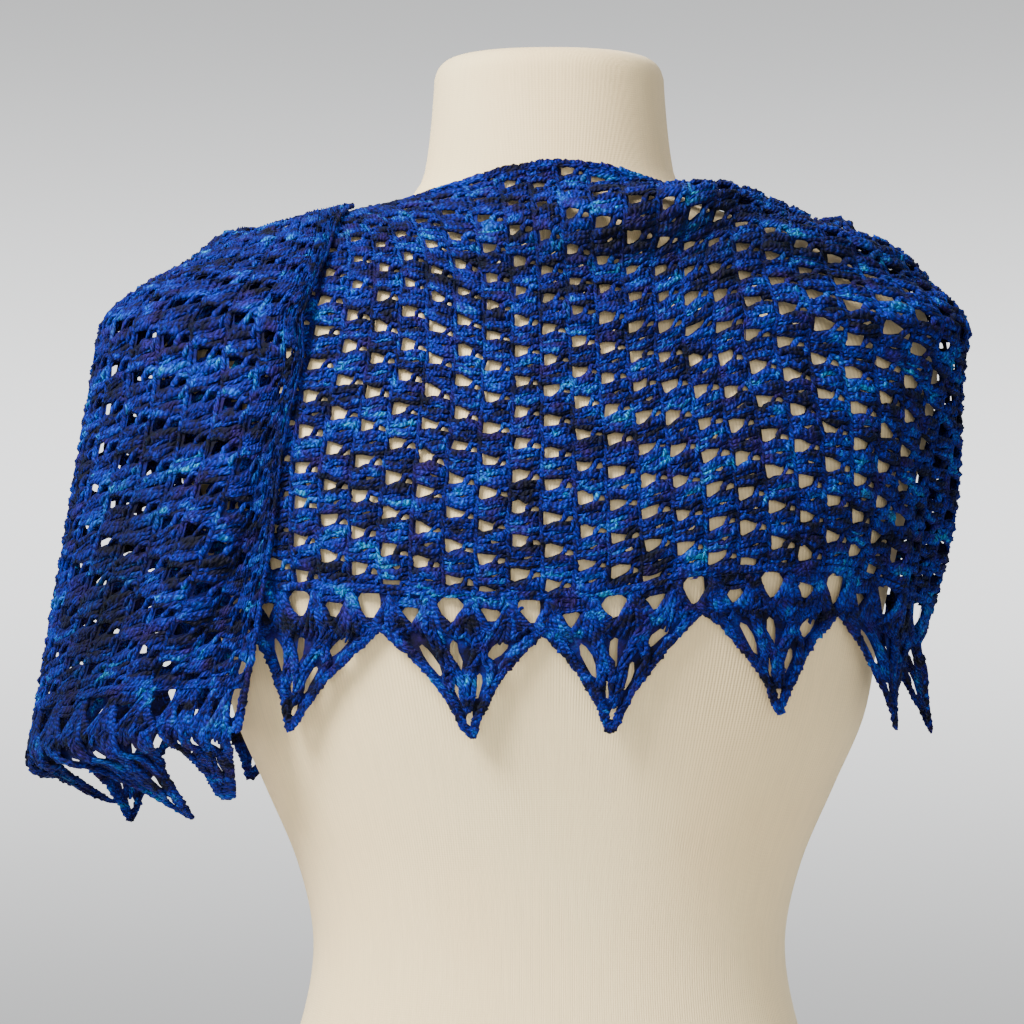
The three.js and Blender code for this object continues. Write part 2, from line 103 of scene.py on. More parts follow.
# hem angle, neck angle, turn angle, height of the neckline, height of the band's bottom
NECKLINE = np.array((
    (-90, -100, -90, 577, 384), (-60, -88, -60, 580, 382), (-32, -68, -32, 586, 381),
    (-10, -24, -10, 601, 380), (10, 12, 10, 605, 381), (28, 50, 28, 597, 389), (46, 82, 46, 587, 391),
    (66, 93, 66, 577.5, 386), (86, 99, 86, 574, 374), (106, 112, 106, 586, 372), (130, 130, 130, 602, 374),
    (155, 154, 155, 614, 376), (180, 180, 180, 618, 378), (205, 206, 205, 614, 372),
    (230, 232, 230, 600, 350), (250, 250, 250, 584, 328), (266, 262, 270, 573, 310),
    (280, 272, 292, 577, 322), (292, 284, 312, 585, 332), (302, 291.5, 312, 588, 332)), float)
# angle, stand-off below the shoulder, flare
HANG = np.array((
    (-100, 1, -0.05), (-45, 1, -0.08), (0, 2, -0.09), (45, 5, -0.13), (70, 11, -0.17), (90, 16, -0.17),
    (115, 10, -0.1), (150, 4, -0.05), (180, 3, -0.02), (215, 6, 0.02), (245, 15, 0.1), (270, 26, 0.17),
    (292, 17, 0.1), (310, 6, 0.02), (330, 4, 0)), float)
# folds: at, depth, half length, half width, height, slant
FOLDS = (
    (295, 31, 150, 32, 15, -0.06), (400, 52, 110, 26, 9, -0.18), (448, 3, 46, 26, 15, 0),
    (470, 190, 30, 95, 9, 0.2), (425, 225, 24, 70, 8, 0), (535, 205, 30, 110, 11, 0),
    (655, 14, 120, 22, 7, 0), (650, 215, 32, 120, 10, 0), (765, 205, 36, 120, 13, 0),
    (1010, 4, 60, 28, 10, 0), (885, 210, 34, 120, 12, 0), (1122, 170, 24, 105, 9, 0),
    (1206, 130, 16, 140, 5, 0))
# hollows that the light doesn't reach: at, depth, half length, half depth, amount
HOLLOWS = ((1080, 195, 36, 110, 0.52), (1030, 262, 60, 40, 0.36), (330, 68, 95, 14, 0.36))
# how the points hang: sway along the strip, and curl towards the form
POINTS = (
    (0, 2), (-17, 3), (3, 4), (-4, 3), (9, 3), (18, -8), (-6, -24), (6, 4), (-4, 2), (5, 5), (-7, 3), (4, 5),
    (-5, 6), (26, 80), (40, 66), (-2, 45))


def follow(table, column, at):
    """A column of a table, followed smoothly between its rows and held at its ends."""
    xs, ys = table[:, 0], table[:, column]
    last = len(xs) - 1
    before, after = np.maximum(np.arange(last + 1) - 1, 0), np.minimum(np.arange(last + 1) + 1, last)
    slopes = (ys[after] - ys[before]) / (xs[after] - xs[before])
    at = np.clip(np.asarray(at, float), xs[0], xs[-1])
    i = np.clip(np.searchsorted(xs, at, side="right") - 1, 0, last - 1)
    span = xs[i + 1] - xs[i]
    u = (at - xs[i]) / span
    return (ys[i] * (1 + 2 * u) * (1 - u) ** 2 + slopes[i] * span * u * (1 - u) ** 2
            + ys[i + 1] * u * u * (3 - 2 * u) + slopes[i + 1] * span * u * u * (u - 1))


def form_radius(angle, z):
    """The form's radius in plan, in millimetres, at angles in degrees and heights."""
    angle = np.radians(angle)
    half_width = follow(FORM_RINGS, 1, z)
    depth = np.where(np.cos(angle) > 0, follow(FORM_RINGS, 2, z), follow(FORM_RINGS, 3, z))
    across, along = np.abs(np.sin(angle)) / half_width, np.abs(np.cos(angle)) / depth
    return (across ** FORM_ROUNDNESS + along ** FORM_ROUNDNESS) ** (-1 / FORM_ROUNDNESS)


def smoothstep(x, low, high):
    t = np.clip((x - low) / (high - low), 0, 1)
    return t * t * (3 - 2 * t)


def between(a, b, share):
    return a * (1 - share) + b * share


def unit(vectors):
    return vectors / np.linalg.norm(vectors, axis=-1, keepdims=True)


def make_drape():
    """The inside of the cloth: radii for each whole degree, from the top down."""
    degrees = np.arange(-125, 345)
    heights = np.arange(DRAPE_TOP, 0, -DRAPE_STEP)
    layer = FORM_CLEARANCE + (OVERLAP_CLEARANCE - FORM_CLEARANCE) * smoothstep(degrees, *OVERLAP_RAMP)
    stand_off, flare = follow(HANG, 1, degrees), follow(HANG, 2, degrees)
    radii = np.zeros((len(degrees), len(heights)))
    for k, z in enumerate(heights):
        below, above = form_radius(degrees, z - DRAPE_STEP), form_radius(degrees, z + DRAPE_STEP)
        slope = (below - above) / (2 * DRAPE_STEP)
        on_form = form_radius(degrees, z) + layer * np.hypot(1, slope)
        if z > STAND_OFF_FULL:
            radii[:, k] = on_form + stand_off * (1 - smoothstep(z, STAND_OFF_FULL, STAND_OFF_STARTS))
        else:
            radii[:, k] = np.maximum(on_form, radii[:, k - 1] + flare * DRAPE_STEP)
    return degrees[0], radii


FIRST_DEGREE, DRAPE = make_drape()


def drape_radius(angle, z):
    angle, z = np.broadcast_arrays(np.asarray(angle, float), np.asarray(z, float))
    column, place = angle - FIRST_DEGREE, (DRAPE_TOP - z) / DRAPE_STEP
    i, j = np.floor(column).astype(int), np.floor(place).astype(int)
    fi, fj = column - i, place - j
    return between(between(DRAPE[i, j], DRAPE[i, j + 1], fj),
                   between(DRAPE[i + 1, j], DRAPE[i + 1, j + 1], fj), fi)


def place_at(angle, z):
    radius = drape_radius(angle, z)
    turned = np.radians(angle)
    return np.stack((radius * np.sin(turned), -radius * np.cos(turned), z + 0 * radius), -1)


def make_columns():
    """For each column of the plain strip, places above the neckline and down to the band's bottom."""
    hems = [HEM_START_ANGLE]
    while len(hems) < STRIP_LENGTH + 2 * EDGE_WIDTH + 1:
        along, angle = len(hems) - 1, hems[-1]
        radius = float(drape_radius(angle, HEM_HEIGHT))
        turn = (float(drape_radius(angle + 1, HEM_HEIGHT)) - radius) / math.radians(1)
        ease = 1 + (FULLNESS - 1) * float(smoothstep(along, FULLNESS_FROM, FULLNESS_TO))
        hems.append(angle + math.degrees(1 / (ease * math.hypot(radius, turn))))
    hems = np.array(hems)
    count = int(STRIP_LENGTH / COLUMN_STEP) + COLUMNS_SPARE
    along = (np.arange(count) - COLUMNS_BEFORE) * COLUMN_STEP
    place = along + EDGE_WIDTH
    hem = np.interp(place, np.arange(len(hems)), hems)
    hem += np.minimum(place, 0) * (hems[1] - hems[0])
    hem += np.maximum(place - len(hems) + 1, 0) * (hems[-1] - hems[-2])
    neck, turn, top, bottom = (follow(NECKLINE, k, hem) for k in (1, 2, 3, 4))
    fractions = np.linspace(0, 1, PATH_STEPS + 1)

    def angle_at(place):
        return neck + (turn - neck) * (1 - (1 - place) ** SWING) + (hem - turn) * place ** RETURN

    def walk(step):
        z, path = top.copy(), []
        for i in range(PATH_STEPS + 1):
            angle = angle_at(fractions[i])
            path.append(place_at(angle, z))
            beside = place_at(angle_at(fractions[min(PATH_STEPS, i + 1)]), z)
            sideways = np.linalg.norm(beside - path[-1], axis=1)
            steepness = (drape_radius(angle, z - DRAPE_STEP) - drape_radius(angle, z)) / DRAPE_STEP
            fall = np.sqrt(np.maximum(step ** 2 - sideways ** 2, (0.3 * step) ** 2))
            z = np.maximum(z - fall / np.hypot(1, steepness), 10)
        return np.stack(path, 1)

    short, long = np.full(count, 1.0), np.full(count, 6.0)
    for _ in range(18):
        middle = (short + long) / 2
        high = walk(middle)[:, -1, 2] > bottom
        short, long = np.where(high, middle, short), np.where(high, long, middle)
    path = walk((short + long) / 2)
    steepness = (drape_radius(neck, top) - drape_radius(neck, top + DRAPE_STEP)) / DRAPE_STEP
    above = [place_at(neck, top + k * RISE_STEP / np.hypot(1, steepness)) for k in (3, 2, 1)]
    return np.stack(above, 1), path


ABOVE, COLUMNS = make_columns()


def plain_cloth(u, v):
    """Places on the unfolded strip, from millimetres along it and down it."""
    place = np.clip(u / COLUMN_STEP + COLUMNS_BEFORE, 0, len(COLUMNS) - 1.001)
    row = np.clip(v / BAND_END, 0, 0.9999) * PATH_STEPS
    rise = np.clip(-v / RISE_STEP, 0, 2.999)
    column, j, k = (np.floor(value).astype(int) for value in (place, row, rise))
    part, part_down, part_up = ((a - b)[..., None] for a, b in ((place, column), (row, j), (rise, k)))
    k = 2 - k

    def place_in(index):
        down = between(COLUMNS[index, j], COLUMNS[index, j + 1], part_down)
        base = np.where((k == 2)[..., None], COLUMNS[index, 0], ABOVE[index, np.minimum(k + 1, 2)])
        return np.where((v < 0)[..., None], between(base, ABOVE[index, k], part_up), down)

    return between(place_in(column), place_in(column + 1), part)


def normal_of(surface, u, v, step=4.0):
    sideways = surface(u + step, v) - surface(u - step, v)
    down = surface(u, v + step) - surface(u, v - step)
    return unit(np.cross(down, sideways))


def hump(x):
    return np.where(np.abs(x) < 1, np.cos(np.clip(x, -1, 1) * math.pi / 2) ** 2, 0)


def folded_cloth(u, v):
    lift = sum(height * hump((u - at) / half_length) * hump((v - depth - slant * (u - at)) / half_width)
               for at, depth, half_length, half_width, height, slant in FOLDS)
    return plain_cloth(u, v) + normal_of(plain_cloth, u, v) * lift[..., None]


def fold_shade(u, v):
    """How light the wool is: less under each fold, where it turns away from the light."""
    under = 0
    for at, depth, half_length, half_width, height, slant in FOLDS:
        across = (v - depth - slant * (u - at)) / half_width
        falling = np.where((across > 0) & (across < 1), np.sin(np.clip(across, 0, 1) * math.pi), 0)
        under = under + height / half_width * hump((u - at) / half_length) * falling
    for at, depth, half_length, half_depth, amount in HOLLOWS:
        under = under + amount * hump((u - at) / half_length) * hump((v - depth) / half_depth)
    return np.clip(1 - 1.5 * under, 0.25, 1)


def hanging_point(index):
    """The surface of one of the border's points, which sways and curls."""
    sway, curl = POINTS[index]

    def surface(u, v):
        end = np.full_like(u, BAND_END)
        start = folded_cloth(u, end)
        down = unit(start - folded_cloth(u, end - 8))
        out = normal_of(folded_cloth, u, end - 4)
        sideways = unit(np.cross(out, down))
        below = np.maximum(v - BAND_END, 0)[..., None]
        turned = math.radians(curl) * np.minimum(1, below / 12)
        hung = (start + down * below * np.cos(turned) - out * below * np.sin(turned)
                + sideways * sway * below / POINT_DEPTH)
        return np.where((v <= BAND_END)[..., None], folded_cloth(u, np.minimum(v, BAND_END)), hung)

    return surface


def make_patch(index):
    """Even places and normals of the strip round one point of the border, in millimetres."""
    last = min((index + 1) * POINT_WIDTH, STRIP_LENGTH)
    us = np.arange(index * POINT_WIDTH - PATCH_MARGIN, last + PATCH_MARGIN + 1, PATCH_STEP)
    vs = np.arange(-PATCH_MARGIN, FULL_DEPTH + 6, PATCH_STEP)
    u, v = np.meshgrid(us, vs, indexing="ij")
    surface = hanging_point(min(index, len(POINTS) - 1))
    return us[0], vs[0], surface(u, v), normal_of(surface, u, v)


PATCHES = {}


def lay_on_cloth(points, patch_index):
    """Flat places (along, -down, out) in millimetres, moved onto the draped cloth, in metres."""
    out = np.zeros_like(points)
    for index in np.unique(patch_index):
        if index not in PATCHES:
            PATCHES[index] = make_patch(int(index))
        u0, v0, places, normals = PATCHES[index]
        chosen = patch_index == index
        u, v, w = points[chosen, 0], -points[chosen, 1], points[chosen, 2]
        a = np.clip((u - u0) / PATCH_STEP, 0, places.shape[0] - 1.001)
        b = np.clip((v - v0) / PATCH_STEP, 0, places.shape[1] - 1.001)
        i, j = a.astype(int), b.astype(int)
        fa, fb = (a - i)[:, None], (b - j)[:, None]
        at, normal = (between(between(grid[i, j], grid[i + 1, j], fa),
                              between(grid[i, j + 1], grid[i + 1, j + 1], fa), fb)
                      for grid in (places, normals))
        out[chosen] = at + unit(normal) * w[:, None]
    return out / 1000


# Yarn: tubes drawn flat, in millimetres, with x along the strip, y up it and z out of it.

def smooth_path(points, segments):
    """A smooth curve through points, in even steps of its parameter."""
    points = np.array(points, float)
    at = np.linspace(0, len(points) - 1, segments + 1)
    i = np.clip(at.astype(int), 0, len(points) - 2)
    t = (at - i)[:, None]
    first, last = 2 * points[0] - points[1], 2 * points[-1] - points[-2]
    padded = np.vstack((first, points, last))
    a, b, c, d = (padded[i + k] for k in range(4))
    return 0.5 * (2 * b + (c - a) * t + (2 * a - 5 * b + 4 * c - d) * t ** 2
                  + (3 * b - a - 3 * c + d) * t ** 3)


def cumulated(path):
    """The length of a path up to each of its points."""
    return np.concatenate(((0,), np.cumsum(np.linalg.norm(np.diff(path, axis=0), axis=1))))


def level_side(along):
    """For each step of a path, the level direction at its right."""
    side = np.cross(along, (0, 0, 1.0))
    return side / np.maximum(np.linalg.norm(side, axis=1, keepdims=True), 1e-6)


class Yarn:
    """Collects strands of yarn as tubes in one mesh, with each strand's own tone and length."""
    SIDES, FLATNESS, END_SHARE = 5, 0.9, 0.6

    def __init__(self):
        self.points, self.faces, self.uvs, self.tones, self.count = [], [], [], [], 0

    def strand(self, path, radius, tone, closed_ends=True):
        path, n = np.asarray(path, float), self.SIDES
        along = unit(np.gradient(path, axis=0))
        side = level_side(along)
        up = np.cross(along, side)
        lengths = cumulated(path)
        angles = np.arange(n) * 2 * math.pi / n + 0.3
        radii = np.full(len(path), radius, float)
        if closed_ends:
            radii[0] *= self.END_SHARE
            radii[-1] *= self.END_SHARE
        turn = lengths[:, None] * 1.1 + tone * 9
        lobes = 1 + 0.16 * np.cos(2 * (angles[None] - turn)) + 0.1 * np.sin(lengths[:, None] * 0.9)
        uneven = radii[:, None] * lobes
        rings = (path[:, None] + side[:, None] * (np.cos(angles)[None] * uneven)[..., None]
                 + up[:, None] * (np.sin(angles)[None] * uneven * self.FLATNESS)[..., None])
        start = self.count
        self.points.append(rings.reshape(-1, 3))
        self.count += len(path) * n
        for i in range(len(path) - 1):
            a, b = start + i * n, start + (i + 1) * n
            low, high = lengths[i] / 1000, lengths[i + 1] / 1000
            for j in range(n):
                k = (j + 1) % n
                self.faces.append((a + j, a + k, b + k, b + j))
                self.uvs += [(low, j / n), (low, (j + 1) / n), (high, (j + 1) / n), (high, j / n)]
                self.tones.append(tone)
        if closed_ends:
            last = start + (len(path) - 1) * n
            self.faces += [tuple(start + n - 1 - j for j in range(n)), tuple(last + j for j in range(n))]
            self.uvs += [(0, j / n) for j in range(n)] * 2
            self.tones += [tone, tone]

    def braid(self, path, radius, reach, rise, pitch, tones, step=1.7, closed_ends=True, start=0.0):
        """Plies that cross over each other along a path, as the links of a chain do."""
        path, plies = np.asarray(path, float), len(tones)
        lengths = cumulated(path)
        at = np.linspace(0, lengths[-1], max(3, int(round(lengths[-1] / step)) + 1))
        middle = np.stack([np.interp(at, lengths, path[:, k]) for k in range(3)], 1)
        side = level_side(np.gradient(middle, axis=0))
        for ply, tone in enumerate(tones):
            phase = 2 * math.pi * (at / pitch + ply / plies + start)
            strand = middle + side * (np.sin(phase) * reach)[:, None]
            strand[:, 2] += (np.sin(2 * phase) if plies == 3 else np.cos(phase)) * rise
            self.strand(strand, radius, tone, closed_ends=closed_ends)

    def mesh(self, name):
        return yarn_mesh(name, np.concatenate(self.points).tolist(), self.faces, self.uvs, self.tones)


def smooth_mesh(name, points, faces, layer, uvs):
    mesh = bpy.data.meshes.new(name)
    mesh.from_pydata(points, [], faces)
    mesh.uv_layers.new(name=layer).data.foreach_set("uv", np.array(uvs, "f").ravel())
    mesh.polygons.foreach_set("use_smooth", [True] * len(mesh.polygons))
    return mesh


def yarn_mesh(name, points, faces, uvs, tones):
    """A smooth mesh with its places along and round the strands, and each strand's tone."""
    mesh = smooth_mesh(name, points, faces, "strand", uvs)
    mesh.attributes.new("tone", "FLOAT", "FACE").data.foreach_set("value", np.array(tones, "f"))
    return mesh


# One cell of the net: strands as rows of (along, down, out), from one bar of the net to the next.
CELL_STRANDS = (
    (((0, 8.0, 1.2), (3.4, 8.3, 2.1), (7.2, 7.2, 2.5), (11, 7.0, 2.1), (15.2, 6.6, 1.2)), 1.3, 0.2),
    (((0, 9.8, 1.2), (4, 9.9, 1.9), (8.0, 8.5, 2.0), (12, 8.7, 2.2), (15.2, 8.2, 1.2)), 1.3, 0.6),
    (((0, 11.5, 1.1), (3.2, 11.9, 1.9), (5.8, 11.4, 1.6), (7.4, 9.4, 1.6), (11, 9.6, 1.5), (15.2, 10.0, 1.0)),
     1.15, 0.85),
    (((0, 13.1, 1.2), (4.2, 13.3, 2.0), (8.2, 13.5, 2.2), (11.6, 12.0, 2.1), (15.2, 11.6, 1.2)), 1.3, 0.3),
    (((0, 14.8, 1.2), (4, 14.7, 2.2), (8.4, 15.1, 2.4), (12, 14.1, 2.2), (15.2, 13.3, 1.2)), 1.3, 0.7),
    (((0.2, 16.3, 1.2), (4.6, 16.0, 1.8), (8.6, 16.5, 1.9), (11.8, 16.0, 2.0), (15.0, 15.1, 1.2)), 1.2, 0.1),
    (((8.2, 6.6, 1.7), (9.6, 4.4, 2.2), (10.9, 1.8, 2.0), (13.2, 1.4, 1.9), (15.2, 2.6, 1.2)), 1.15, 0.45),
)
# Loops round the strands: from, to, and tone.
CELL_LOOPS = (
    ((1.8, 10.6), (3.6, 7.0), 0.1), ((4.8, 10.6), (6.4, 6.4), 0.5), ((8.2, 9.8), (9.8, 5.8), 0.05),
    ((12.0, 11.6), (13.6, 6.0), 0.6), ((2.6, 16.4), (4.6, 12.0), 0.9), ((9.0, 16.8), (11.4, 12.2), 0.2),
    ((6.0, 15.6), (7.6, 12.4), 0.35))
# Openings in a cell, as outlines of (along, down).
CELL_OPENINGS = (
    ((1.2, 0.2), (4, -0.3), (8.0, 0.1), (9.9, 0.9), (9.6, 3.0), (8.2, 5.0), (5.2, 6.1), (2.4, 6.9),
     (1.2, 6.3)),
    ((10.9, 3.5), (12.4, 2.9), (14.3, 3.7), (14.3, 5.3), (12.4, 5.7), (10.4, 5.5)),
    ((6.9, 10.6), (8.3, 10.0), (10.4, 10.3), (10.6, 11.4), (9.0, 12.3), (7.2, 12.2)),
)
# Rows laid in all, dense ones below the neckline, and how much fuller the yarn of each kind is.
NET_ROWS, DENSE_ROWS, OPEN_FULLNESS, DENSE_FULLNESS = 16, 6, 1.09, 1.2


def closer(loop, share):
    """An outline drawn in towards its middle."""
    middle = [sum(values) / len(loop) for values in zip(*loop)]
    return [tuple(m + (c - m) * share for c, m in zip(point, middle)) for point in loop]


def cell_yarn(variant, dense=False):
    """One cell of the net in yarn, each variant a little different from the last."""
    rng = random.Random(40 + variant)
    yarn = Yarn()
    fuller = DENSE_FULLNESS if dense else OPEN_FULLNESS
    for points, radius, tone in CELL_STRANDS:
        inner = [(u + rng.uniform(-0.6, 0.6), v + rng.uniform(-0.6, 0.6), w + rng.uniform(-0.4, 0.4))
                 for u, v, w in points[1:-1]]
        path = smooth_path([(u, -v, w) for u, v, w in (points[0], *inner, points[-1])], 4)
        yarn.strand(path, radius * fuller * rng.uniform(0.88, 1.12), tone + rng.uniform(-0.4, 0.4))
    for (u0, v0), (u1, v1), tone in CELL_LOOPS:
        shift, lean = rng.uniform(-0.6, 0.6), rng.uniform(-0.6, 0.8)
        top = ((u0 + u1) / 2 + lean + shift, -(v0 + v1) / 2, 3.2)
        path = smooth_path([(u0 + shift, -v0, 1.4), top, (u1 + shift, -v1, 1.6)], 2)
        yarn.strand(path, 0.9 * fuller, tone + rng.uniform(-0.2, 0.4))
    turns = np.linspace(0, 2 * math.pi, 5)
    for ply in range(2):
        phase = turns * 1.5 + ply * math.pi
        down = -turns / (2 * math.pi) * CELL_HEIGHT
        path = np.stack((0.7 * np.sin(phase), down, 1.5 + 0.4 * np.cos(phase)), 1)
        yarn.strand(path, 0.9, 0.3 + 0.35 * ply + rng.uniform(-0.3, 0.3), closed_ends=False)
    return yarn


def is_inside(p, loop):
    crossed = False
    for k, (x0, y0) in enumerate(loop):
        x1, y1 = loop[(k + 1) % len(loop)]
        if (y0 > p[1]) != (y1 > p[1]) and p[0] < (x1 - x0) * (p[1] - y0) / (y1 - y0) + x0:
            crossed = not crossed
    return crossed


def pierced(outline, openings):
    """Triangles that fill an outline around its openings, all as (x, y)."""
    points, edges = [], []
    for loop in (outline, *openings):
        first = len(points)
        points += [Vector(p) for p in loop]
        edges += [(first + k, first + (k + 1) % len(loop)) for k in range(len(loop))]
    verts, _, faces, *_ = delaunay_2d_cdt(points, edges, [], 1, 1e-4)

    kept = []
    for face in faces:
        centre = sum((verts[k] for k in face), Vector((0, 0))) / len(face)
        if is_inside(centre, outline) and not any(is_inside(centre, loop) for loop in openings):
            a, b, c = (verts[k] for k in face[:3])
            turns_left = (b - a).cross(c - a) > 0
            kept.append(tuple(face) if turns_left else tuple(reversed(face)))
    return verts, kept


# The border: across is -1 to 1 over a point's width, and down is from the end of the net.
OPEN_COLUMNS = 8


def point_width(down):
    """The width of one point at a depth below the end of the net."""
    below = min(max(0, down - BAND_DEPTH) / POINT_DEPTH, 1)
    return POINT_TIP_WIDTH + (POINT_WIDTH - POINT_TIP_WIDTH) * (1 - below) ** POINT_HOLLOW


def column_at(column):
    return (column + 0.5) / OPEN_COLUMNS * 2 - 1


# Openings: column, half width in columns, top, bottom, slant.
BORDER_OPENINGS = (
    (3.0, 0.74, 1.5, 14.5, 0), (7.0, 0.78, 0.8, 14.5, 0), (1.0, 0.55, 8.5, 17, 0), (5.0, 0.6, 6.5, 14, 0),
    (1.1, 0.4, 25.5, 41, 0), (3.05, 0.34, 23.5, 38, 0), (5.75, 0.5, 23.5, 33, -0.3),
    (2.2, 0.34, 43, 52, 0), (4.8, 0.48, 38, 51, 0), (3.6, 0.95, 56.5, 66, 0))


def border_place(half):
    """A function from (across, down, out) to a flat place in one point, or in the last half point."""
    def place(across, down, out):
        width = point_width(down)
        return ((across - 1) * width / 4 if half else across * width / 2, -down, out)
    return place


# Bundles of long strands down a point: rows of (column, down), strands, spread and loops round them.
BUNDLES = (
    (((2.0, 19), (2.1, 29), (2.05, 38), (1.2, 48)), 5, 2.0, 4),
    (((2.3, 28), (2.9, 40), (3.1, 50), (3.3, 58)), 4, 1.5, 3),
    (((4.5, 19), (4.4, 28), (4.0, 39), (3.7, 56)), 5, 2.0, 5),
    (((4.9, 19), (4.9, 29), (5.7, 36), (6.2, 46)), 4, 1.5, 3),
    (((6.9, 20), (6.9, 28), (6.7, 38)), 3, 1.4, 2),
    (((0.2, 20), (0.1, 30), (0.3, 42), (1.2, 52)), 3, 1.0, 2))


def lay_bundle(yarn, line, rng, count, spread, loops):
    """Long strands side by side that cross now and then, with short loops round them."""
    along = np.gradient(line, axis=0)
    side = level_side(along)
    at = np.linspace(0, 1, len(line))
    for k in range(count):
        phase = 2 * math.pi * (k / count + at * rng.uniform(0.5, 1.1))
        strand = line + side * (np.sin(phase) * spread * rng.uniform(0.8, 1.15))[:, None]
        strand[:, 2] += 0.6 * np.cos(phase)
        yarn.strand(strand, 1.15 * rng.uniform(0.9, 1.12), rng.uniform(0, 1))
    for k in range(loops):
        i = 1 + round((k + rng.uniform(0.1, 0.9)) / loops * (len(line) - 3))
        step = along[i] / np.linalg.norm(along[i]) * rng.uniform(0.8, 2.0)
        reach = side[i] * (spread + 0.9)
        loop = [line[i] - reach - step, line[i] + (0, 0, 1.7), line[i] + reach + step]
        yarn.strand(smooth_path(loop, 3), 0.85, rng.uniform(0, 1))


def lay_shell(yarn, path, rng, apex):
    """A shell that spreads from a stitch between two openings, and the loops on it."""
    for k in range(11):
        spread = (k - 5) / 5
        foot = min(max(apex + spread * 0.33 + rng.uniform(-0.02, 0.02), -0.985), 0.985)
        lift = rng.uniform(-0.4, 0.6)
        rows = [(apex + spread * 0.05, 0.4 + rng.uniform(0, 2.2), 1.3),
                (apex + spread * 0.065, 7, 2.1 + lift),
                (apex + spread * 0.19 + rng.uniform(-0.02, 0.02), 14.2 + abs(spread), 2.3 - lift),
                (foot, 25.5 - 5.5 * abs(spread) + rng.uniform(-1.6, 1.6), 1.4)]
        yarn.strand(path(rows, 6), rng.uniform(1.2, 1.5), rng.uniform(0, 1))
    for _ in range(9):
        y = rng.uniform(5, 22)
        x, lean = apex + rng.uniform(-0.22, 0.22) * (y / 22), rng.uniform(0.03, 0.08)
        yarn.strand(path([(x - lean, y + 2.0, 2.0), (x, y, 3.4), (x + lean, y - 2.0, 2.0)], 3), 0.85,
                    rng.uniform(0, 1))


def border_yarn(variant, half=False):
    """One point of the border in yarn, with the band above it."""
    rng, yarn, place = random.Random(80 + variant), Yarn(), border_place(half)

    def path(rows, segments):
        return smooth_path([place(*row) for row in rows], segments)

    # wavy strands along the net's end
    for k in range(3):
        line = [(-1 + i / 4, 0.2 + 1.1 * math.sin(i * 1.9 + k * 2.1) + rng.uniform(-0.5, 0.5), 1.6 + 0.3 * k)
                for i in range(9)]
        line[-1] = (1, line[0][1], line[0][2])
        yarn.strand(path(line, 16), 1.15, rng.uniform(0, 1), closed_ends=False)
    for column in (0, 2, 4, 6):
        lay_shell(yarn, path, rng, column_at(column))

    # stitches over the two small openings, as in the net's last row
    for first, last, ends in ((0, 2, 8.0), (4, 6, 6.0)):
        for k in range(5):
            y = 0.6 + (ends - 0.6) * k / 4
            rows = [(column_at(first) + 0.02, y - 0.6, 1.5),
                    (column_at(first + 0.7), y + rng.uniform(-0.9, 0.9), 2.2),
                    (column_at(first + 1.4), y + rng.uniform(-0.9, 0.9), 2.0),
                    (column_at(last) - 0.02, y - 1.4, 1.5)]
            yarn.strand(path(rows, 5), 1.15, rng.uniform(0, 1))
        for k in range(3):
            x, y = column_at(first + 0.4 + 0.55 * k), rng.uniform(2.5, 4.5)
            rows = [(x - 0.02, y + 3, 1.7), (x + 0.02, y, 3.2), (x + 0.05, y - 3, 1.7)]
            yarn.strand(path(rows, 3), 0.9, rng.uniform(0, 1))

    # bundles from the shells to the tip, and the two edges, closed round the tip
    for rows, count, spread, loops in BUNDLES:
        line = path([(column_at(column), down, 1.7) for column, down in rows], 9)
        lay_bundle(yarn, line, rng, count, spread * (0.55 if half else 1.0), loops)
    edge = [(-0.95, 18.0, 1.6), *((-1 + 6.0 / point_width(y), y, 1.6) for y in (24, 30, 37, 44, 51, 58, 64)),
            (-0.15, 68.2, 1.6)]
    for sign in (1, -1):
        line = path([(a * sign, y, w) for a, y, w in edge] + [(0.12 * sign, 69.2, 1.7)], 20)
        for radius, reach, rise, pitch, plies in ((1.2, 1.7 * (0.7 if half else 1), 0.6, 9.0, 3),
                                                  (1.05, 0.9, 0.7, 7.0, 2)):
            tones = [rng.uniform(0, 1) for _ in range(plies)]
            yarn.braid(line, radius, reach, rise, pitch, tones, start=rng.uniform(0, 1))
    return yarn


def border_web(half=False):
    """The flat filling between a border's stitches, as triangles round its openings."""
    place = border_place(half)

    def flat(across, down):
        return place(across, down, 0)[:2]

    sides = [19 + 5 * k for k in range(11)]
    outline = [flat(-1, 0.3), flat(-1, 10)] + [flat(-1 + 3.2 / point_width(y), y) for y in sides]
    outline += [flat(0, 70.6)] + [flat(1 - 3.2 / point_width(y), y) for y in reversed(sides)]
    outline += [flat(1, 10), flat(1, 0.3)] + [flat(1 - k / 10, 0.3) for k in range(1, 20)]
    openings = []
    for column, half_width, top, bottom, slant in BORDER_OPENINGS:
        middle, reach, loop = column_at(column), half_width * 2 / OPEN_COLUMNS, []
        for k in range(10):
            turn = 2 * math.pi * k / 10
            down = (top + bottom) / 2 + (bottom - top) / 2 * math.cos(turn)
            across = middle + reach * math.sin(turn) * 0.95 + slant * math.cos(turn) * reach
            loop.append(flat(min(across, 0.985), down))
        openings.append(loop)
    return pierced(outline, openings)


def set_inputs(tree, node, inputs):
    """Sets a node's inputs, where each may be a value or another node's output."""
    for name, value in inputs.items():
        if isinstance(value, bpy.types.NodeSocket):
            tree.links.new(value, node.inputs[name])
        else:
            node.inputs[name].default_value = value
    return node


def add_node(tree, kind, inputs=None, **settings):
    node = tree.nodes.new(kind)
    for name, value in settings.items():
        setattr(node, name, value)
    return set_inputs(tree, node, inputs or {})


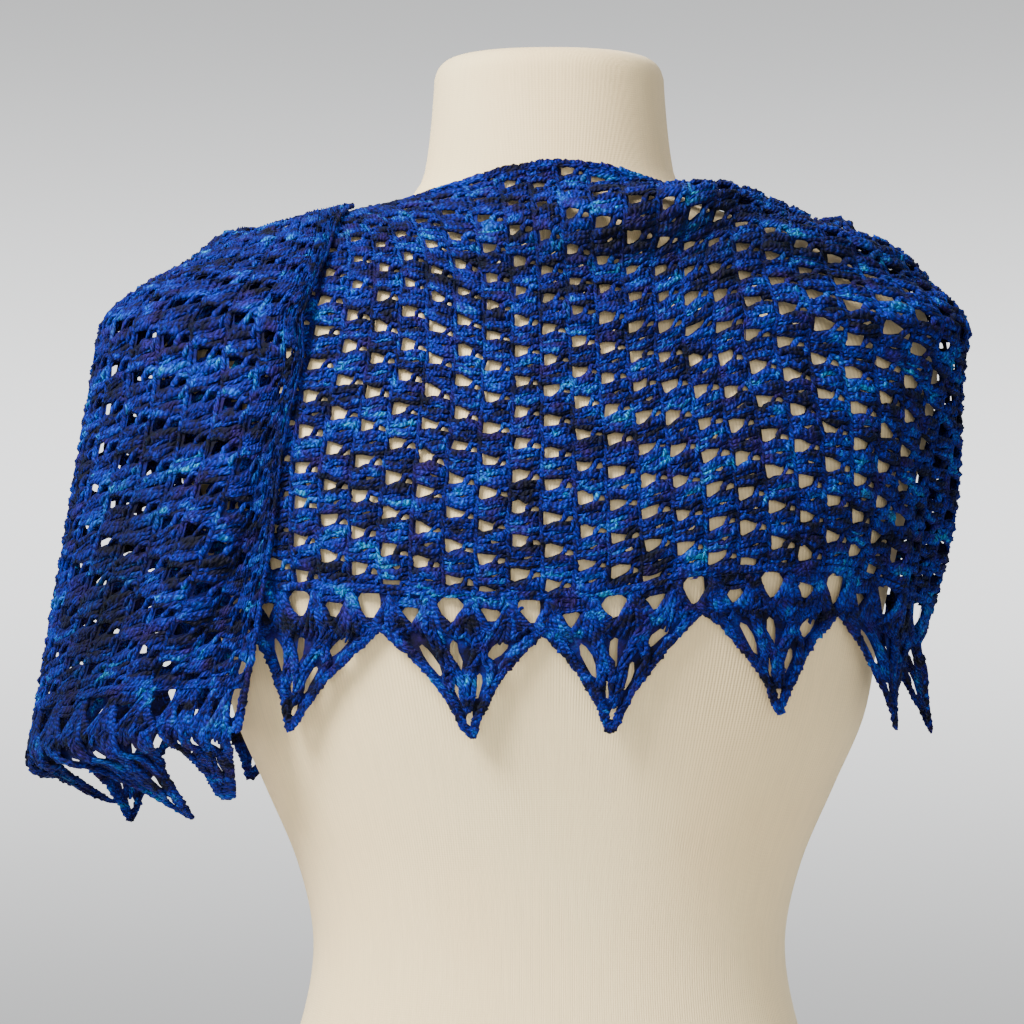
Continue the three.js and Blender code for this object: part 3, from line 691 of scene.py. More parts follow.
def mathed(tree, operation, a, b=0.0, c=0.0):
    return add_node(tree, "ShaderNodeMath", {0: a, 1: b, 2: c}, operation=operation).outputs[0]


def vectored(tree, operation, a, b):
    inputs = {0: a, "Scale" if operation == "SCALE" else 1: b}
    return add_node(tree, "ShaderNodeVectorMath", inputs, operation=operation).outputs[0]


def noise(tree, place, scale, detail, roughness=0.5, output="Fac"):
    return add_node(tree, "ShaderNodeTexNoise", {
        "Vector": place, "Scale": scale, "Detail": detail, "Roughness": roughness}).outputs[output]


def ranged(tree, value, low, high, start, end, **settings):
    inputs = {"Value": value, "From Min": low, "From Max": high, "To Min": start, "To Max": end}
    return add_node(tree, "ShaderNodeMapRange", inputs, **settings).outputs[0]


def uv_of(tree, name):
    return add_node(tree, "ShaderNodeUVMap", uv_map=name).outputs[0]


# What the rows of stitches are laid by: name, kind and default.
STITCH_INPUTS = (
    ("Stitches", "Collection", None), ("Columns", "Int", 10), ("Rows", "Int", 10), ("First Column", "Int", 0),
    ("First Row", "Int", 0), ("Cell Width", "Float", CELL_WIDTH), ("Cell Height", "Float", CELL_HEIGHT),
    ("First Drop", "Float", 0.0), ("Second Drop", "Float", 0.0), ("Start", "Vector", (0, 0, 0)),
    ("Unevenness", "Float", 0.5), ("Seed", "Int", 1), ("Material", "Material", None))


def stitch_tree():
    """Geometry Nodes that lay copies of the stitches in even rows and columns, a little unevenly."""
    tree = bpy.data.node_groups.get("Stitch rows")
    if tree:
        return tree
    tree = bpy.data.node_groups.new("Stitch rows", "GeometryNodeTree")
    for name, kind, value in STITCH_INPUTS:
        made = tree.interface.new_socket(name, in_out="INPUT", socket_type=f"NodeSocket{kind}")
        if value is not None:
            made.default_value = value
    tree.interface.new_socket("Geometry", in_out="OUTPUT", socket_type="NodeSocketGeometry")
    given = tree.nodes.new("NodeGroupInput").outputs

    def math_of(operation, a, b=0.0):
        return mathed(tree, operation, a, b)

    def drift(scale, detail, roughness, reach):
        """Noise from the place of each point, as much one way as the other."""
        moves = noise(tree, where, scale, detail, roughness, "Color")
        return vectored(tree, "MULTIPLY", vectored(tree, "SUBTRACT", moves, (0.5, 0.5, 0.5)), reach)

    index = add_node(tree, "GeometryNodeInputIndex").outputs[0]
    column_in_piece = math_of("FLOOR", math_of("DIVIDE", math_of("ADD", index, 0.001), given["Rows"]))
    row = math_of("SUBTRACT", index, math_of("MULTIPLY", column_in_piece, given["Rows"]))
    column = math_of("ADD", column_in_piece, given["First Column"])
    pair = math_of("FLOOR", math_of("DIVIDE", math_of("ADD", column, 0.001), 2.0))
    odd = math_of("SUBTRACT", column, math_of("MULTIPLY", pair, 2.0))
    both = math_of("ADD", given["First Drop"], given["Second Drop"])
    dropped = math_of("ADD", math_of("MULTIPLY", pair, both), math_of("MULTIPLY", odd, given["First Drop"]))
    down = math_of("ADD", math_of("ADD", row, given["First Row"]), math_of("FRACT", dropped))
    place = add_node(tree, "ShaderNodeCombineXYZ", {
        "X": math_of("MULTIPLY", column, given["Cell Width"]),
        "Y": math_of("MULTIPLY", math_of("MULTIPLY", down, given["Cell Height"]), -1.0)}).outputs[0]
    points = add_node(tree, "GeometryNodePoints", {
        "Count": math_of("MULTIPLY", given["Columns"], given["Rows"]),
        "Position": vectored(tree, "ADD", place, given["Start"])}).outputs[0]
    stitches = add_node(tree, "GeometryNodeCollectionInfo", {
        "Collection": given["Stitches"], "Separate Children": True, "Reset Children": True}).outputs[0]
    pick = add_node(tree, "FunctionNodeRandomValue", {
        4: 0, 5: 1000, "ID": index, "Seed": given["Seed"]}, data_type="INT").outputs[2]
    instances = add_node(tree, "GeometryNodeInstanceOnPoints", {
        "Points": points, "Instance": stitches, "Pick Instance": True, "Instance Index": pick}).outputs[0]
    number = add_node(tree, "GeometryNodeStoreNamedAttribute", {
        "Geometry": instances, "Name": "cell", "Value": index}, data_type="INT", domain="INSTANCE").outputs[0]
    real = add_node(tree, "GeometryNodeRealizeInstances", {"Geometry": number}).outputs[0]
    where = add_node(tree, "GeometryNodeInputPosition").outputs[0]
    drifts = vectored(tree, "ADD", drift(0.055, 2.0, 0.7, (4.0, 4.0, 0.8)),
                      drift(0.24, 1.0, 0.5, (3.4, 3.4, 1.4)))
    moved = add_node(tree, "GeometryNodeSetPosition", {
        "Geometry": real, "Offset": vectored(tree, "SCALE", drifts, given["Unevenness"])}).outputs[0]
    finished = add_node(tree, "GeometryNodeSetMaterial", {"Geometry": moved, "Material": given["Material"]})
    add_node(tree, "NodeGroupOutput", {"Geometry": finished.outputs[0]})
    return tree


def stitch_collection(name, meshes):
    """A collection outside the scene with one object for each kind of stitch."""
    collection = bpy.data.collections.new(name)
    for k, mesh in enumerate(meshes):
        collection.objects.link(bpy.data.objects.new(f"{name}_{k}", mesh))
    return collection


def rows_of_stitches(name, collection, given):
    """A plain mesh of the stitches laid flat, with the modifier already taken off."""
    settings = bpy.context.scene.capelet_stitches
    holder = bpy.data.objects.new(f"{name}_flat", bpy.data.meshes.new(f"{name}_flat"))
    bpy.context.scene.collection.objects.link(holder)
    modifier = holder.modifiers.new("Stitch rows", "NODES")
    modifier.node_group = stitch_tree()
    values = {"Stitches": collection, "Seed": settings.seed, "Unevenness": settings.unevenness, **given}
    for item in modifier.node_group.interface.items_tree:
        if item.in_out == "INPUT" and item.name in values:
            modifier[item.identifier] = values[item.name]
    bpy.context.view_layer.update()
    evaluated = holder.evaluated_get(bpy.context.evaluated_depsgraph_get())
    mesh = bpy.data.meshes.new_from_object(evaluated)
    bpy.data.objects.remove(holder)
    mesh.name = name
    return mesh


def positions_of(mesh):
    flat = np.zeros(len(mesh.vertices) * 3, "f")
    mesh.vertices.foreach_get("co", flat)
    return flat.reshape(-1, 3).astype(float)


def drop_faces(mesh, keep):
    """Removes the faces that aren't kept, and the points that only they used."""
    work = bmesh.new()
    work.from_mesh(mesh)
    work.faces.ensure_lookup_table()
    bmesh.ops.delete(work, geom=[f for f in work.faces if not keep[f.index]], context="FACES")
    work.to_mesh(mesh)
    work.free()


def corner_points(mesh):
    loops = np.zeros(len(mesh.loops), "i")
    mesh.loops.foreach_get("vertex_index", loops)
    return loops


def face_mask(mesh, good):
    """For each face, whether any of its points is good."""
    starts = np.zeros(len(mesh.polygons), "i")
    mesh.polygons.foreach_get("loop_start", starts)
    return np.logical_or.reduceat(good[corner_points(mesh)], starts)


def drape_mesh(mesh, patch_of, left, right, top=None, bottom=None):
    """Trims a flat mesh to a stretch of the strip, keeps its flat place as a UV map and lays it on."""
    flat = positions_of(mesh)
    inside = (flat[:, 0] >= left - 0.01) & (flat[:, 0] <= right + 0.01)
    if top is not None:
        inside &= (-flat[:, 1] >= top - 0.01) & (-flat[:, 1] <= bottom + 0.01)
        flat[:, 1] = -np.clip(-flat[:, 1], top, bottom)
    flat[:, 0] = np.clip(flat[:, 0], left, right)
    if not inside.all():
        mesh.vertices.foreach_set("co", flat.astype("f").ravel())
        drop_faces(mesh, face_mask(mesh, inside))
        flat = positions_of(mesh)
    if patch_of is None:
        patch = np.clip(flat[:, 0] // POINT_WIDTH, 0, WHOLE_POINTS).astype(int)
    else:
        patch = np.zeros(len(mesh.vertices), "i")
        mesh.attributes["cell"].data.foreach_get("value", patch)
        patch += patch_of
    layer = mesh.uv_layers.new(name="cloth")
    layer.data.foreach_set("uv", (flat[corner_points(mesh), :2] / 1000 + (0, 0.4)).astype("f").ravel())
    # painted shade: the wool is darker under each fold and in the hollows, kept for its colour to be
    # multiplied by
    shade = mesh.attributes.new("shade", "FLOAT", "POINT")
    shade.data.foreach_set("value", fold_shade(flat[:, 0], -flat[:, 1]).astype("f"))
    mesh.vertices.foreach_set("co", lay_on_cloth(flat, patch).astype("f").ravel())
    mesh.attributes.remove(mesh.attributes["cell"])
    mesh.update()
    return mesh


def join_meshes(name, meshes):
    """One mesh out of several that share their layers and material."""
    objects = [bpy.data.objects.new(f"{name}_{k}", mesh) for k, mesh in enumerate(meshes)]
    for obj in objects:
        bpy.context.scene.collection.objects.link(obj)
    with bpy.context.temp_override(active_object=objects[0], selected_objects=objects,
                                   selected_editable_objects=objects, object=objects[0]):
        bpy.ops.object.join()
    joined = objects[0]
    mesh = joined.data
    bpy.data.objects.remove(joined)
    mesh.name = name
    return mesh


def piece_of(name, mesh, slot, *nodes):
    """A finished piece of the part: it rides on the root body and stands for these solids."""
    piece = bpy.data.objects.new(name, mesh)
    bpy.context.scene.collection.objects.link(piece)
    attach(piece, "root")
    if nodes:
        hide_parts(*nodes)
    return piece


# Materials

def shader_group(name, inputs, outputs):
    """A new group of shader nodes whose inputs are numbers, and those inputs."""
    tree = bpy.data.node_groups.new(name, "ShaderNodeTree")
    for label, value in inputs:
        tree.interface.new_socket(label, in_out="INPUT", socket_type="NodeSocketFloat").default_value = value
    for label, kind in outputs:
        tree.interface.new_socket(label, in_out="OUTPUT", socket_type=kind)
    return tree, tree.nodes.new("NodeGroupInput").outputs


def colour_ramp(tree, factor, stops):
    node = add_node(tree, "ShaderNodeValToRGB", {"Fac": factor})
    ramp = node.color_ramp
    while len(ramp.elements) > 1:
        ramp.elements.remove(ramp.elements[-1])
    ramp.elements[0].position, ramp.elements[0].color = stops[0][0], (*stops[0][1], 1)
    for position, colour in stops[1:]:
        ramp.elements.new(position).color = (*colour, 1)
    return node.outputs["Color"]


def read_attribute(tree, name):
    node = add_node(tree, "ShaderNodeAttribute", attribute_name=name, attribute_type="GEOMETRY")
    return node.outputs["Fac"]


# The wool's dyes: position on the ramp, and colour.
DYES = (
    (0.0, (0.001, 0.0012, 0.014)), (0.18, (0.0015, 0.0018, 0.05)), (0.32, (0.002, 0.003, 0.16)),
    (0.48, (0.004, 0.011, 0.34)), (0.62, (0.004, 0.034, 0.52)), (0.76, (0.003, 0.12, 0.66)),
    (0.9, (0.004, 0.28, 0.74)), (1.0, (0.02, 0.4, 0.78)))
VIOLET = (0.03, 0.006, 0.17, 1)
TWISTS_PER_METRE, FIBRES_PER_METRE = 420.0, 620.0


def dyed_yarn_group():
    """The colours of the space-dyed yarn, with painted shade under the cloth's folds, in its hollows and
    between its plies, and the height of its plies and fibres.
    """
    if bpy.data.node_groups.get("Dyed yarn"):
        return bpy.data.node_groups["Dyed yarn"]
    tree, given = shader_group("Dyed yarn", (("Brightness", 1.0), ("Azure", 0.0), ("Plies", 1.0)),
                               (("Color", "NodeSocketColor"), ("Height", "NodeSocketFloat")))

    def of(operation, *values):
        return mathed(tree, operation, *values)

    cloth, strand = uv_of(tree, "cloth"), uv_of(tree, "strand")
    tone, shade = read_attribute(tree, "tone"), read_attribute(tree, "shade")
    patches = noise(tree, cloth, 120.0, 4.0, 0.72)
    rows = add_node(tree, "ShaderNodeMapping", {"Vector": cloth, "Scale": (38.0, 75.0, 1.0)}).outputs[0]
    spread = of("MULTIPLY_ADD", patches, 1.5, of("MULTIPLY", noise(tree, rows, 1.0, 2.0), 1.6))
    dyed = of("ADD", of("ADD", of("MULTIPLY_ADD", tone, 0.36, spread), -1.3), given["Azure"])
    violet_mask = ranged(tree, noise(tree, cloth, 85.0, 2.0), 0.55, 0.68, 0.0, 0.6)
    coloured = add_node(tree, "ShaderNodeMix", {
        "Factor": violet_mask, 6: colour_ramp(tree, dyed, DYES), 7: VIOLET}, data_type="RGBA").outputs[2]
    split = add_node(tree, "ShaderNodeSeparateXYZ", {"Vector": strand})
    along, turn = split.outputs[0], split.outputs[1]
    hair = add_node(tree, "ShaderNodeCombineXYZ", {
        "X": of("MULTIPLY", along, FIBRES_PER_METRE), "Y": of("MULTIPLY", turn, 8.0),
        "Z": of("MULTIPLY", tone, 20.0)}).outputs[0]
    fibres = noise(tree, hair, 1.0, 3.0, 0.75)
    light = ranged(tree, fibres, 0.32, 0.7, 0.3, 1.6)
    turns = of("ADD", of("MULTIPLY", along, TWISTS_PER_METRE), of("MULTIPLY", turn, 2.0))
    twist = of("SINE", of("MULTIPLY", turns, 2 * math.pi))
    # painted shade: the colour darkens in the grooves between the plies, where the twist turns in
    painted_ply_shade = ranged(tree, twist, -1.0, 0.1, 0.3, 1.0)
    painted_ply_shade = of("ADD", 1.0, of("MULTIPLY", of("SUBTRACT", painted_ply_shade, 1.0), given["Plies"]))
    # the dyed colour times the fibres' random tone, the painted shade between plies and the painted shade
    # under folds and in hollows
    bright = of("MULTIPLY", of("MULTIPLY", of("MULTIPLY", light, painted_ply_shade), given["Brightness"]), shade)
    plied = of("MULTIPLY", of("MULTIPLY", twist, 0.5), given["Plies"])
    add_node(tree, "NodeGroupOutput", {
        "Color": vectored(tree, "SCALE", coloured, bright), "Height": of("ADD", plied, fibres)})
    return tree


def new_material(name):
    """A material with its tree and its shader."""
    material = bpy.data.materials.new(name)
    material.use_nodes = True
    return material, material.node_tree, material.node_tree.nodes["Principled BSDF"]


def relief_of(tree, height, strength, distance):
    return add_node(tree, "ShaderNodeBump", {
        "Height": height, "Strength": strength, "Distance": distance}).outputs[0]


def wool_material(name, brightness, azure, bump, plies):
    if bpy.data.materials.get(name):
        return bpy.data.materials[name]
    material, tree, shader = new_material(name)
    dyed = add_node(tree, "ShaderNodeGroup", node_tree=dyed_yarn_group())
    set_inputs(tree, dyed, {"Brightness": brightness, "Azure": azure, "Plies": plies})
    set_inputs(tree, shader, {
        "Base Color": dyed.outputs["Color"], "Normal": relief_of(tree, dyed.outputs["Height"], bump, 0.0005),
        "Roughness": 0.78, "Specular IOR Level": 0.16, "Sheen Weight": 0.05, "Sheen Roughness": 0.4,
        "Sheen Tint": (0.1, 0.35, 1.0, 1)})
    return material


# The jersey's ribs and courses, in metres.
RIB_WIDTH, COURSE_HEIGHT = 0.0017, 0.0011


def jersey_material(name, colour):
    """Cream jersey with fine ribs that run down the form, a little mottled, with painted shade between the
    ribs.
    """
    material, tree, shader = new_material(name)
    cover = uv_of(tree, "cover")
    split = add_node(tree, "ShaderNodeSeparateXYZ", {"Vector": cover})
    wander = mathed(tree, "MULTIPLY", noise(tree, cover, 9.0, 1.0), 3.0)
    around = mathed(tree, "MULTIPLY_ADD", split.outputs[0], 2 * math.pi / RIB_WIDTH, wander)
    ribs = mathed(tree, "SINE", around)
    courses = mathed(tree, "SINE", mathed(tree, "MULTIPLY", split.outputs[1], 2 * math.pi / COURSE_HEIGHT))
    stretched = add_node(tree, "ShaderNodeMapping", {"Vector": cover, "Scale": (420.0, 30.0, 1.0)}).outputs[0]
    slubs = noise(tree, stretched, 1.0, 3.0)
    # painted shade in the grooves between the ribs, on top of the slubs' random tone
    shade = mathed(tree, "MULTIPLY_ADD", ribs, 0.022, mathed(tree, "MULTIPLY_ADD", slubs, 0.16, 0.9))
    darker = tuple(c * k for c, k in zip(colour, (0.97, 0.92, 0.88)))
    tint = colour_ramp(tree, noise(tree, cover, 5.0, 2.0), ((0.35, darker), (0.62, tuple(colour))))
    height = mathed(tree, "MULTIPLY_ADD", courses, 0.2, mathed(tree, "ADD", ribs, slubs))
    set_inputs(tree, shader, {
        "Base Color": vectored(tree, "SCALE", tint, shade), "Normal": relief_of(tree, height, 0.3, 0.0003),
        "Roughness": 0.85, "Specular IOR Level": 0.25, "Sheen Weight": 0.2, "Sheen Roughness": 0.5})
    return material


# The floor fades out between two distances from the form, in metres.
FADE_FROM, FADE_TO, FLOOR_RADIUS = 0.3, 0.95, 1.2
# The painted light on the wall at eye height and its painted shade away from it, how far the glow reaches,
# and the even light on the part.
WALL_GLOW, WALL_SHADE, WALL_REACH, EVEN_LIGHT = 2.1, 0.58, 0.12, 0.5


def floor_material(name, colour):
    """A pale floor round the form that fades away before the wall behind it."""
    material, tree, shader = new_material(name)
    place = add_node(tree, "ShaderNodeTexCoord").outputs["Object"]
    away = add_node(tree, "ShaderNodeVectorMath", {0: place}, operation="LENGTH").outputs["Value"]
    solid = ranged(tree, away, FADE_FROM, FADE_TO, 1.0, 0.0, interpolation_type="SMOOTHSTEP")
    set_inputs(tree, shader, {
        "Base Color": (*colour, 1), "Roughness": 0.9, "Specular IOR Level": 0.2, "Alpha": solid})
    return material


def studio_world():
    """A grey wall with a painted pool of light at the height of the eye, which only the camera sees, and a
    fainter even light on the part.
    """
    world = bpy.data.worlds.new("studio")
    world.use_nodes = True
    tree = world.node_tree
    incoming = add_node(tree, "ShaderNodeNewGeometry").outputs["Incoming"]
    height = add_node(tree, "ShaderNodeSeparateXYZ", {"Vector": incoming}).outputs["Z"]
    steep = mathed(tree, "DIVIDE", height, WALL_REACH)
    # painted light: a bell of brightness round eye height on the wall, darker above and below; the camera
    # alone sees it
    bell = mathed(tree, "EXPONENT", mathed(tree, "MULTIPLY", mathed(tree, "MULTIPLY", steep, steep), -1.0))
    wall = mathed(tree, "MULTIPLY_ADD", bell, WALL_GLOW - WALL_SHADE, WALL_SHADE)
    seen = add_node(tree, "ShaderNodeLightPath").outputs["Is Camera Ray"]
    strength = mathed(tree, "MULTIPLY_ADD", mathed(tree, "SUBTRACT", wall, EVEN_LIGHT), seen, EVEN_LIGHT)
    set_inputs(tree, tree.nodes["Background"], {"Color": (0.98, 0.99, 1.0, 1), "Strength": strength})
    return world


# What a user may change

class CapeletStitchSettings(bpy.types.PropertyGroup):
    cell_width: FloatProperty(name="Cell width", description="Width of one cell of the net", unit="LENGTH",
                              default=CELL_WIDTH / 1000)
    cell_height: FloatProperty(name="Cell height", description="Height of one cell of the net", unit="LENGTH",
                               default=CELL_HEIGHT / 1000)
    first_drop: FloatProperty(name="First drop", description="Drop from an even column of cells to the next, "
                              "as a share of a cell's height", subtype="FACTOR", default=0.29, min=0, max=1)
    second_drop: FloatProperty(name="Second drop", description="Drop from an odd column of cells to the next",
                               subtype="FACTOR", default=0.45, min=0, max=1)
    unevenness: FloatProperty(name="Unevenness", description="How far hand work strays from even rows, in mm",
                              default=0.9, min=0, max=3)
    seed: IntProperty(name="Seed", description="Picks which kind of stitch stands where", default=7)


class CapeletColourSettings(bpy.types.PropertyGroup):
    jersey: FloatVectorProperty(name="Jersey", description="Colour of the form's cover", subtype="COLOR",
                                default=(0.97, 0.78, 0.43))
    floor: FloatVectorProperty(name="Floor", description="Colour of the floor", subtype="COLOR",
                               default=(0.72, 0.72, 0.72))
    wool_brightness: FloatProperty(name="Wool brightness", description="Brightness of the dyed wool",
                                   subtype="FACTOR", default=1.0, min=0, max=2)


def wool(kind):
    """The wool's material on the stitches, or on the filling between them, which lies in their shade: its
    wool is painted darker, as painted shade.
    """
    brightness = bpy.context.scene.capelet_colours.wool_brightness
    if kind == "filling":
        # painted shade: the filling's wool is darker and a little less azure than the stitches'
        return wool_material("wool filling", 0.36 * brightness, -0.05, 0.6, 0.0)
    return wool_material("wool stitches", 0.7 * brightness, 0.0, 1.0, 1.0)


class CAPELET_OT_dress_form(bpy.types.Operator):
    """Make the limbless dress form in its ribbed jersey cover"""
    bl_idname = "capelet.dress_form"
    bl_label = "Dress form"

    def execute(self, context):
        sides, girth, rim_turns = 128, 2 * math.pi * 0.14, 8
        angles = np.arange(sides) * 360 / sides - 180
        turned = np.radians(angles)
        rings = []
        for z in (0.0, 0.6, 2.2, 4.0, *np.arange(10, 654, 6.0), FORM_TOP - NECK_RIM_RADIUS):
            inwards = max(0, BASE_RIM_RADIUS ** 2 - (BASE_RIM_RADIUS - z) ** 2)
            rim = 0 if z >= BASE_RIM_RADIUS else BASE_RIM_RADIUS - math.sqrt(inwards)
            rings.append((form_radius(angles, z) - rim, z))
        for k in range(1, rim_turns + 1):
            turn = math.radians(90 * k / rim_turns)
            rings.append((form_radius(angles, FORM_TOP) - NECK_RIM_RADIUS * (1 - math.cos(turn)),
                          FORM_TOP - NECK_RIM_RADIUS * (1 - math.sin(turn))))
        rings += [(rings[-1][0] * share, FORM_TOP) for share in (0.8, 0.5, 0.2)]
        rings.insert(0, (rings[0][0] * 0.5, 0.0))
        points = [np.stack((radii * np.sin(turned), -radii * np.cos(turned), z + 0 * radii), 1)
                  for radii, z in rings]
        verts = np.vstack((np.concatenate(points) / 1000, (0, 0, 0), (0, 0, FORM_TOP / 1000)))
        ups, last = [z / 1000 for _, z in rings], (len(rings) - 1) * sides
        faces, uvs = [], []
        for i in range(len(rings) - 1):
            for j in range(sides):
                k = (j + 1) % sides
                faces.append((i * sides + j, i * sides + k, (i + 1) * sides + k, (i + 1) * sides + j))
                left, right = j / sides * girth, (j + 1) / sides * girth
                uvs += [(left, ups[i]), (right, ups[i]), (right, ups[i + 1]), (left, ups[i + 1])]
        base, top = len(verts) - 2, len(verts) - 1
        for j in range(sides):
            k = (j + 1) % sides
            faces += [(base, k, j), (top, last + j, last + k)]
            left, middle, right = (place / sides * girth for place in (j, j + 0.5, j + 1))
            uvs += [(middle, -0.05), (right, 0), (left, 0)]
            uvs += [(middle, FORM_TOP / 1000), (left, ups[-1]), (right, ups[-1])]
        mesh = smooth_mesh("dress_form_cover", verts.tolist(), faces, "cover", uvs)
        mesh.materials.append(jersey_material("cream jersey", context.scene.capelet_colours.jersey))
        piece_of("form_cover", mesh, "jersey", "dress_form")
        return {"FINISHED"}


# The strip's three stretches: name, first point and end point of the border.
STRETCHES = (("front", 0, 6), ("back", 6, 12), ("overlap", 12, LAST_POINT_END))
# The net's stitches in runs of columns: name, first column and end column.
RUNS = (("front_stitches_right", 0, 15), ("front_stitches_left", 15, 30), ("back_stitches_left", 30, 45),
        ("back_stitches_right", 45, 60), ("overlap_stitches", 60, 78))


def stretch_sides(first, end):
    return first * POINT_WIDTH, min(end * POINT_WIDTH, STRIP_LENGTH)


def net_layout(name, kinds, kind, first, end, trim):
    """The net's rows over some columns, laid on the cloth: dense ones at the neckline, then open ones."""
    settings = bpy.context.scene.capelet_stitches
    open_kind, dense_kind = kinds
    dense_rows = NET_ROWS if name.startswith("overlap") else DENSE_ROWS
    given = {"Columns": end - first, "First Column": first, "Material": wool(kind),
             "Cell Width": settings.cell_width * 1000, "Cell Height": settings.cell_height * 1000,
             "First Drop": settings.first_drop, "Second Drop": settings.second_drop}
    return [drape_mesh(rows_of_stitches(f"{name}_{first_row}", stitches,
                                        {**given, "Rows": rows, "First Row": first_row}), None, *trim)
            for stitches, first_row, rows in ((dense_kind, -1, dense_rows),
                                              (open_kind, dense_rows - 1, NET_ROWS - dense_rows)) if rows]


def border_layout(name, kinds, kind, first, end, spill, last_spill):
    """One stretch of the border, laid on the cloth: its whole points, and the strip's last half point."""
    whole, half = kinds
    left, right = stretch_sides(first, end)
    given = {"Cell Width": POINT_WIDTH, "Material": wool(kind), "Rows": 1,
             "Start": (POINT_WIDTH / 2, -NET_DEPTH, 0)}
    points = {**given, "Columns": min(end, WHOLE_POINTS) - first, "First Column": first}
    meshes = [drape_mesh(rows_of_stitches(name, whole, points), first, left - spill, right + spill)]
    if end == LAST_POINT_END:
        last = rows_of_stitches(f"{name}_last", half, {**given, "Columns": 1, "First Column": WHOLE_POINTS})
        meshes.append(drape_mesh(last, WHOLE_POINTS, WHOLE_POINTS * POINT_WIDTH - spill, right + last_spill))
    return meshes


class CAPELET_OT_net(bpy.types.Operator):
    """Lay the net's stitches, in pieces of some columns each"""
    bl_idname = "capelet.net"
    bl_label = "Net of stitches"

    def execute(self, context):
        kinds = [stitch_collection(name, [cell_yarn(k, dense).mesh(f"{name}_{k}") for k in variants])
                 for name, dense, variants in (("cell", False, range(6)), ("dense_cell", True, range(6, 10)))]
        for name, first, end in RUNS:
            trim = (first * CELL_WIDTH - 1.6, min(end * CELL_WIDTH, STRIP_LENGTH), -0.4, NET_DEPTH + 2.5)
            meshes = net_layout(name, kinds, "stitches", first, end, trim)
            piece_of(name, join_meshes(name, meshes), "crochet")
        return {"FINISHED"}


class CAPELET_OT_border(bpy.types.Operator):
    """Lay the band and its points, with shells, bundles and roped edges"""
    bl_idname = "capelet.border"
    bl_label = "Band and points"

    def execute(self, context):
        kinds = (stitch_collection("point", [border_yarn(k).mesh(f"point_{k}") for k in range(3)]),
                 stitch_collection("half_point", [border_yarn(5, half=True).mesh("half_point_0")]))
        for name, first, end in STRETCHES:
            meshes = border_layout(f"{name}_points", kinds, "stitches", first, end, 1.5, 0.3)
            piece_of(f"{name}_border_crochet", join_meshes(f"{name}_border_crochet", meshes), "crochet_edge",
                     f"{name}_border")
        return {"FINISHED"}


# The ropes: the length of a link, and how many kinds of link there are.
LINK_PITCH, LINK_KINDS = 9, 3


def rope_mesh(name, length, upright, start):
    """A chained rope of a length, laid along the strip or down it."""
    count = max(2, round(length / LINK_PITCH))
    pitch = length / count
    meshes = []
    for k in range(LINK_KINDS):
        rng, yarn = random.Random(200 + k), Yarn()
        line = [(0, 0, 1.7), (0, -pitch, 1.7) if upright else (pitch, 0, 1.7)]
        yarn.braid(line, 1.25, 1.5, 0.5, pitch, [rng.uniform(0, 0.9) for _ in range(3)], step=1.2,
                   closed_ends=False)
        meshes.append(yarn.mesh(f"{name}_link_{k}"))
    return rows_of_stitches(name, stitch_collection(f"{name}_link", meshes), {
        "Material": wool("stitches"), "Columns": 1 if upright else count, "Rows": count if upright else 1,
        "Start": start, "Cell Width": pitch, "Cell Height": pitch})


class CAPELET_OT_edges(bpy.types.Operator):
    """Chain the roped edges along the neckline and down the strip's two ends"""
    bl_idname = "capelet.edges"
    bl_label = "Roped edges"

    def execute(self, context):
        for name, first, end in STRETCHES:
            left, right = stretch_sides(first, end)
            mesh = rope_mesh(f"{name}_neck_rope", right - left, False, (left, 1.9, 0))
            piece_of(f"{name}_neck_rope", drape_mesh(mesh, None, left - 1, right + 1), "crochet_edge",
                     f"{name}_neck_edge")
        for name, node, along in (("start_rope", "start_edge", -2.5),
                                  ("free_rope", "free_edge", STRIP_LENGTH + 2.4)):
            mesh = drape_mesh(rope_mesh(name, BAND_END, True, (along, 0, 0)), None, along - 5, along + 5)
            piece_of(name, mesh, "crochet_edge", node)
        return {"FINISHED"}


def sheet_mesh(name, verts, faces):
    """A flat sheet in the middle of the cloth's thickness."""
    places = [(verts[k][0] / 1000, verts[k][1] / 9) for face in faces for k in face]
    return yarn_mesh(name, [(v[0], v[1], 1.1) for v in verts], faces, places, [0.3] * len(faces))


class CAPELET_OT_filling(bpy.types.Operator):
    """Fill in behind the stitches with one thin pierced sheet for each stretch"""
    bl_idname = "capelet.filling"
    bl_label = "Filling between the stitches"

    def execute(self, context):
        top, bottom = 3.0, 3.0 - CELL_HEIGHT
        outline = [(0, top), (0, bottom), (CELL_WIDTH, bottom), (CELL_WIDTH, top)]
        cells = []
        for name, share in (("cell_filling", 0.93), ("dense_filling", 0.74)):
            openings = [[(u, -v) for u, v in closer(loop, share)] for loop in CELL_OPENINGS]
            cells.append(stitch_collection(name, [sheet_mesh(name, *pierced(outline, openings))]))
        points = [stitch_collection(name, [sheet_mesh(name, *border_web(half))])
                  for name, half in (("point_filling", False), ("half_point_filling", True))]
        for name, first, end in STRETCHES:
            left, right = stretch_sides(first, end)
            columns = math.ceil((right - left) / CELL_WIDTH)
            first_column = first * CELLS_PER_POINT
            meshes = net_layout(f"{name}_sheet", cells, "filling", first_column, first_column + columns,
                                (left, right, 0.0, NET_DEPTH))
            meshes += border_layout(f"{name}_border_sheet", points, "filling", first, end, 0.0, 0.0)
            sheet = piece_of(f"{name}_cloth", join_meshes(f"{name}_cloth", meshes), "crochet", f"{name}_net")
        return {"FINISHED"}


# The camera's place in metres and its lens in millimetres, and the lights: name, place, size, power, colour.
EYE, LENS, AIM = (-0.0189, -1.5, 0.4374), 103.4, (0, 0, 0.52)
LIGHTS = (("key light", (-0.95, -0.95, 1.55), 0.7, 88, (1.0, 0.98, 0.95)),
          ("fill light", (0.2, -2.0, 0.8), 1.2, 12, (0.98, 0.98, 1.0)),
          ("rim light", (0.6, 1.6, 1.7), 1.2, 14, (0.97, 0.98, 1.0)))


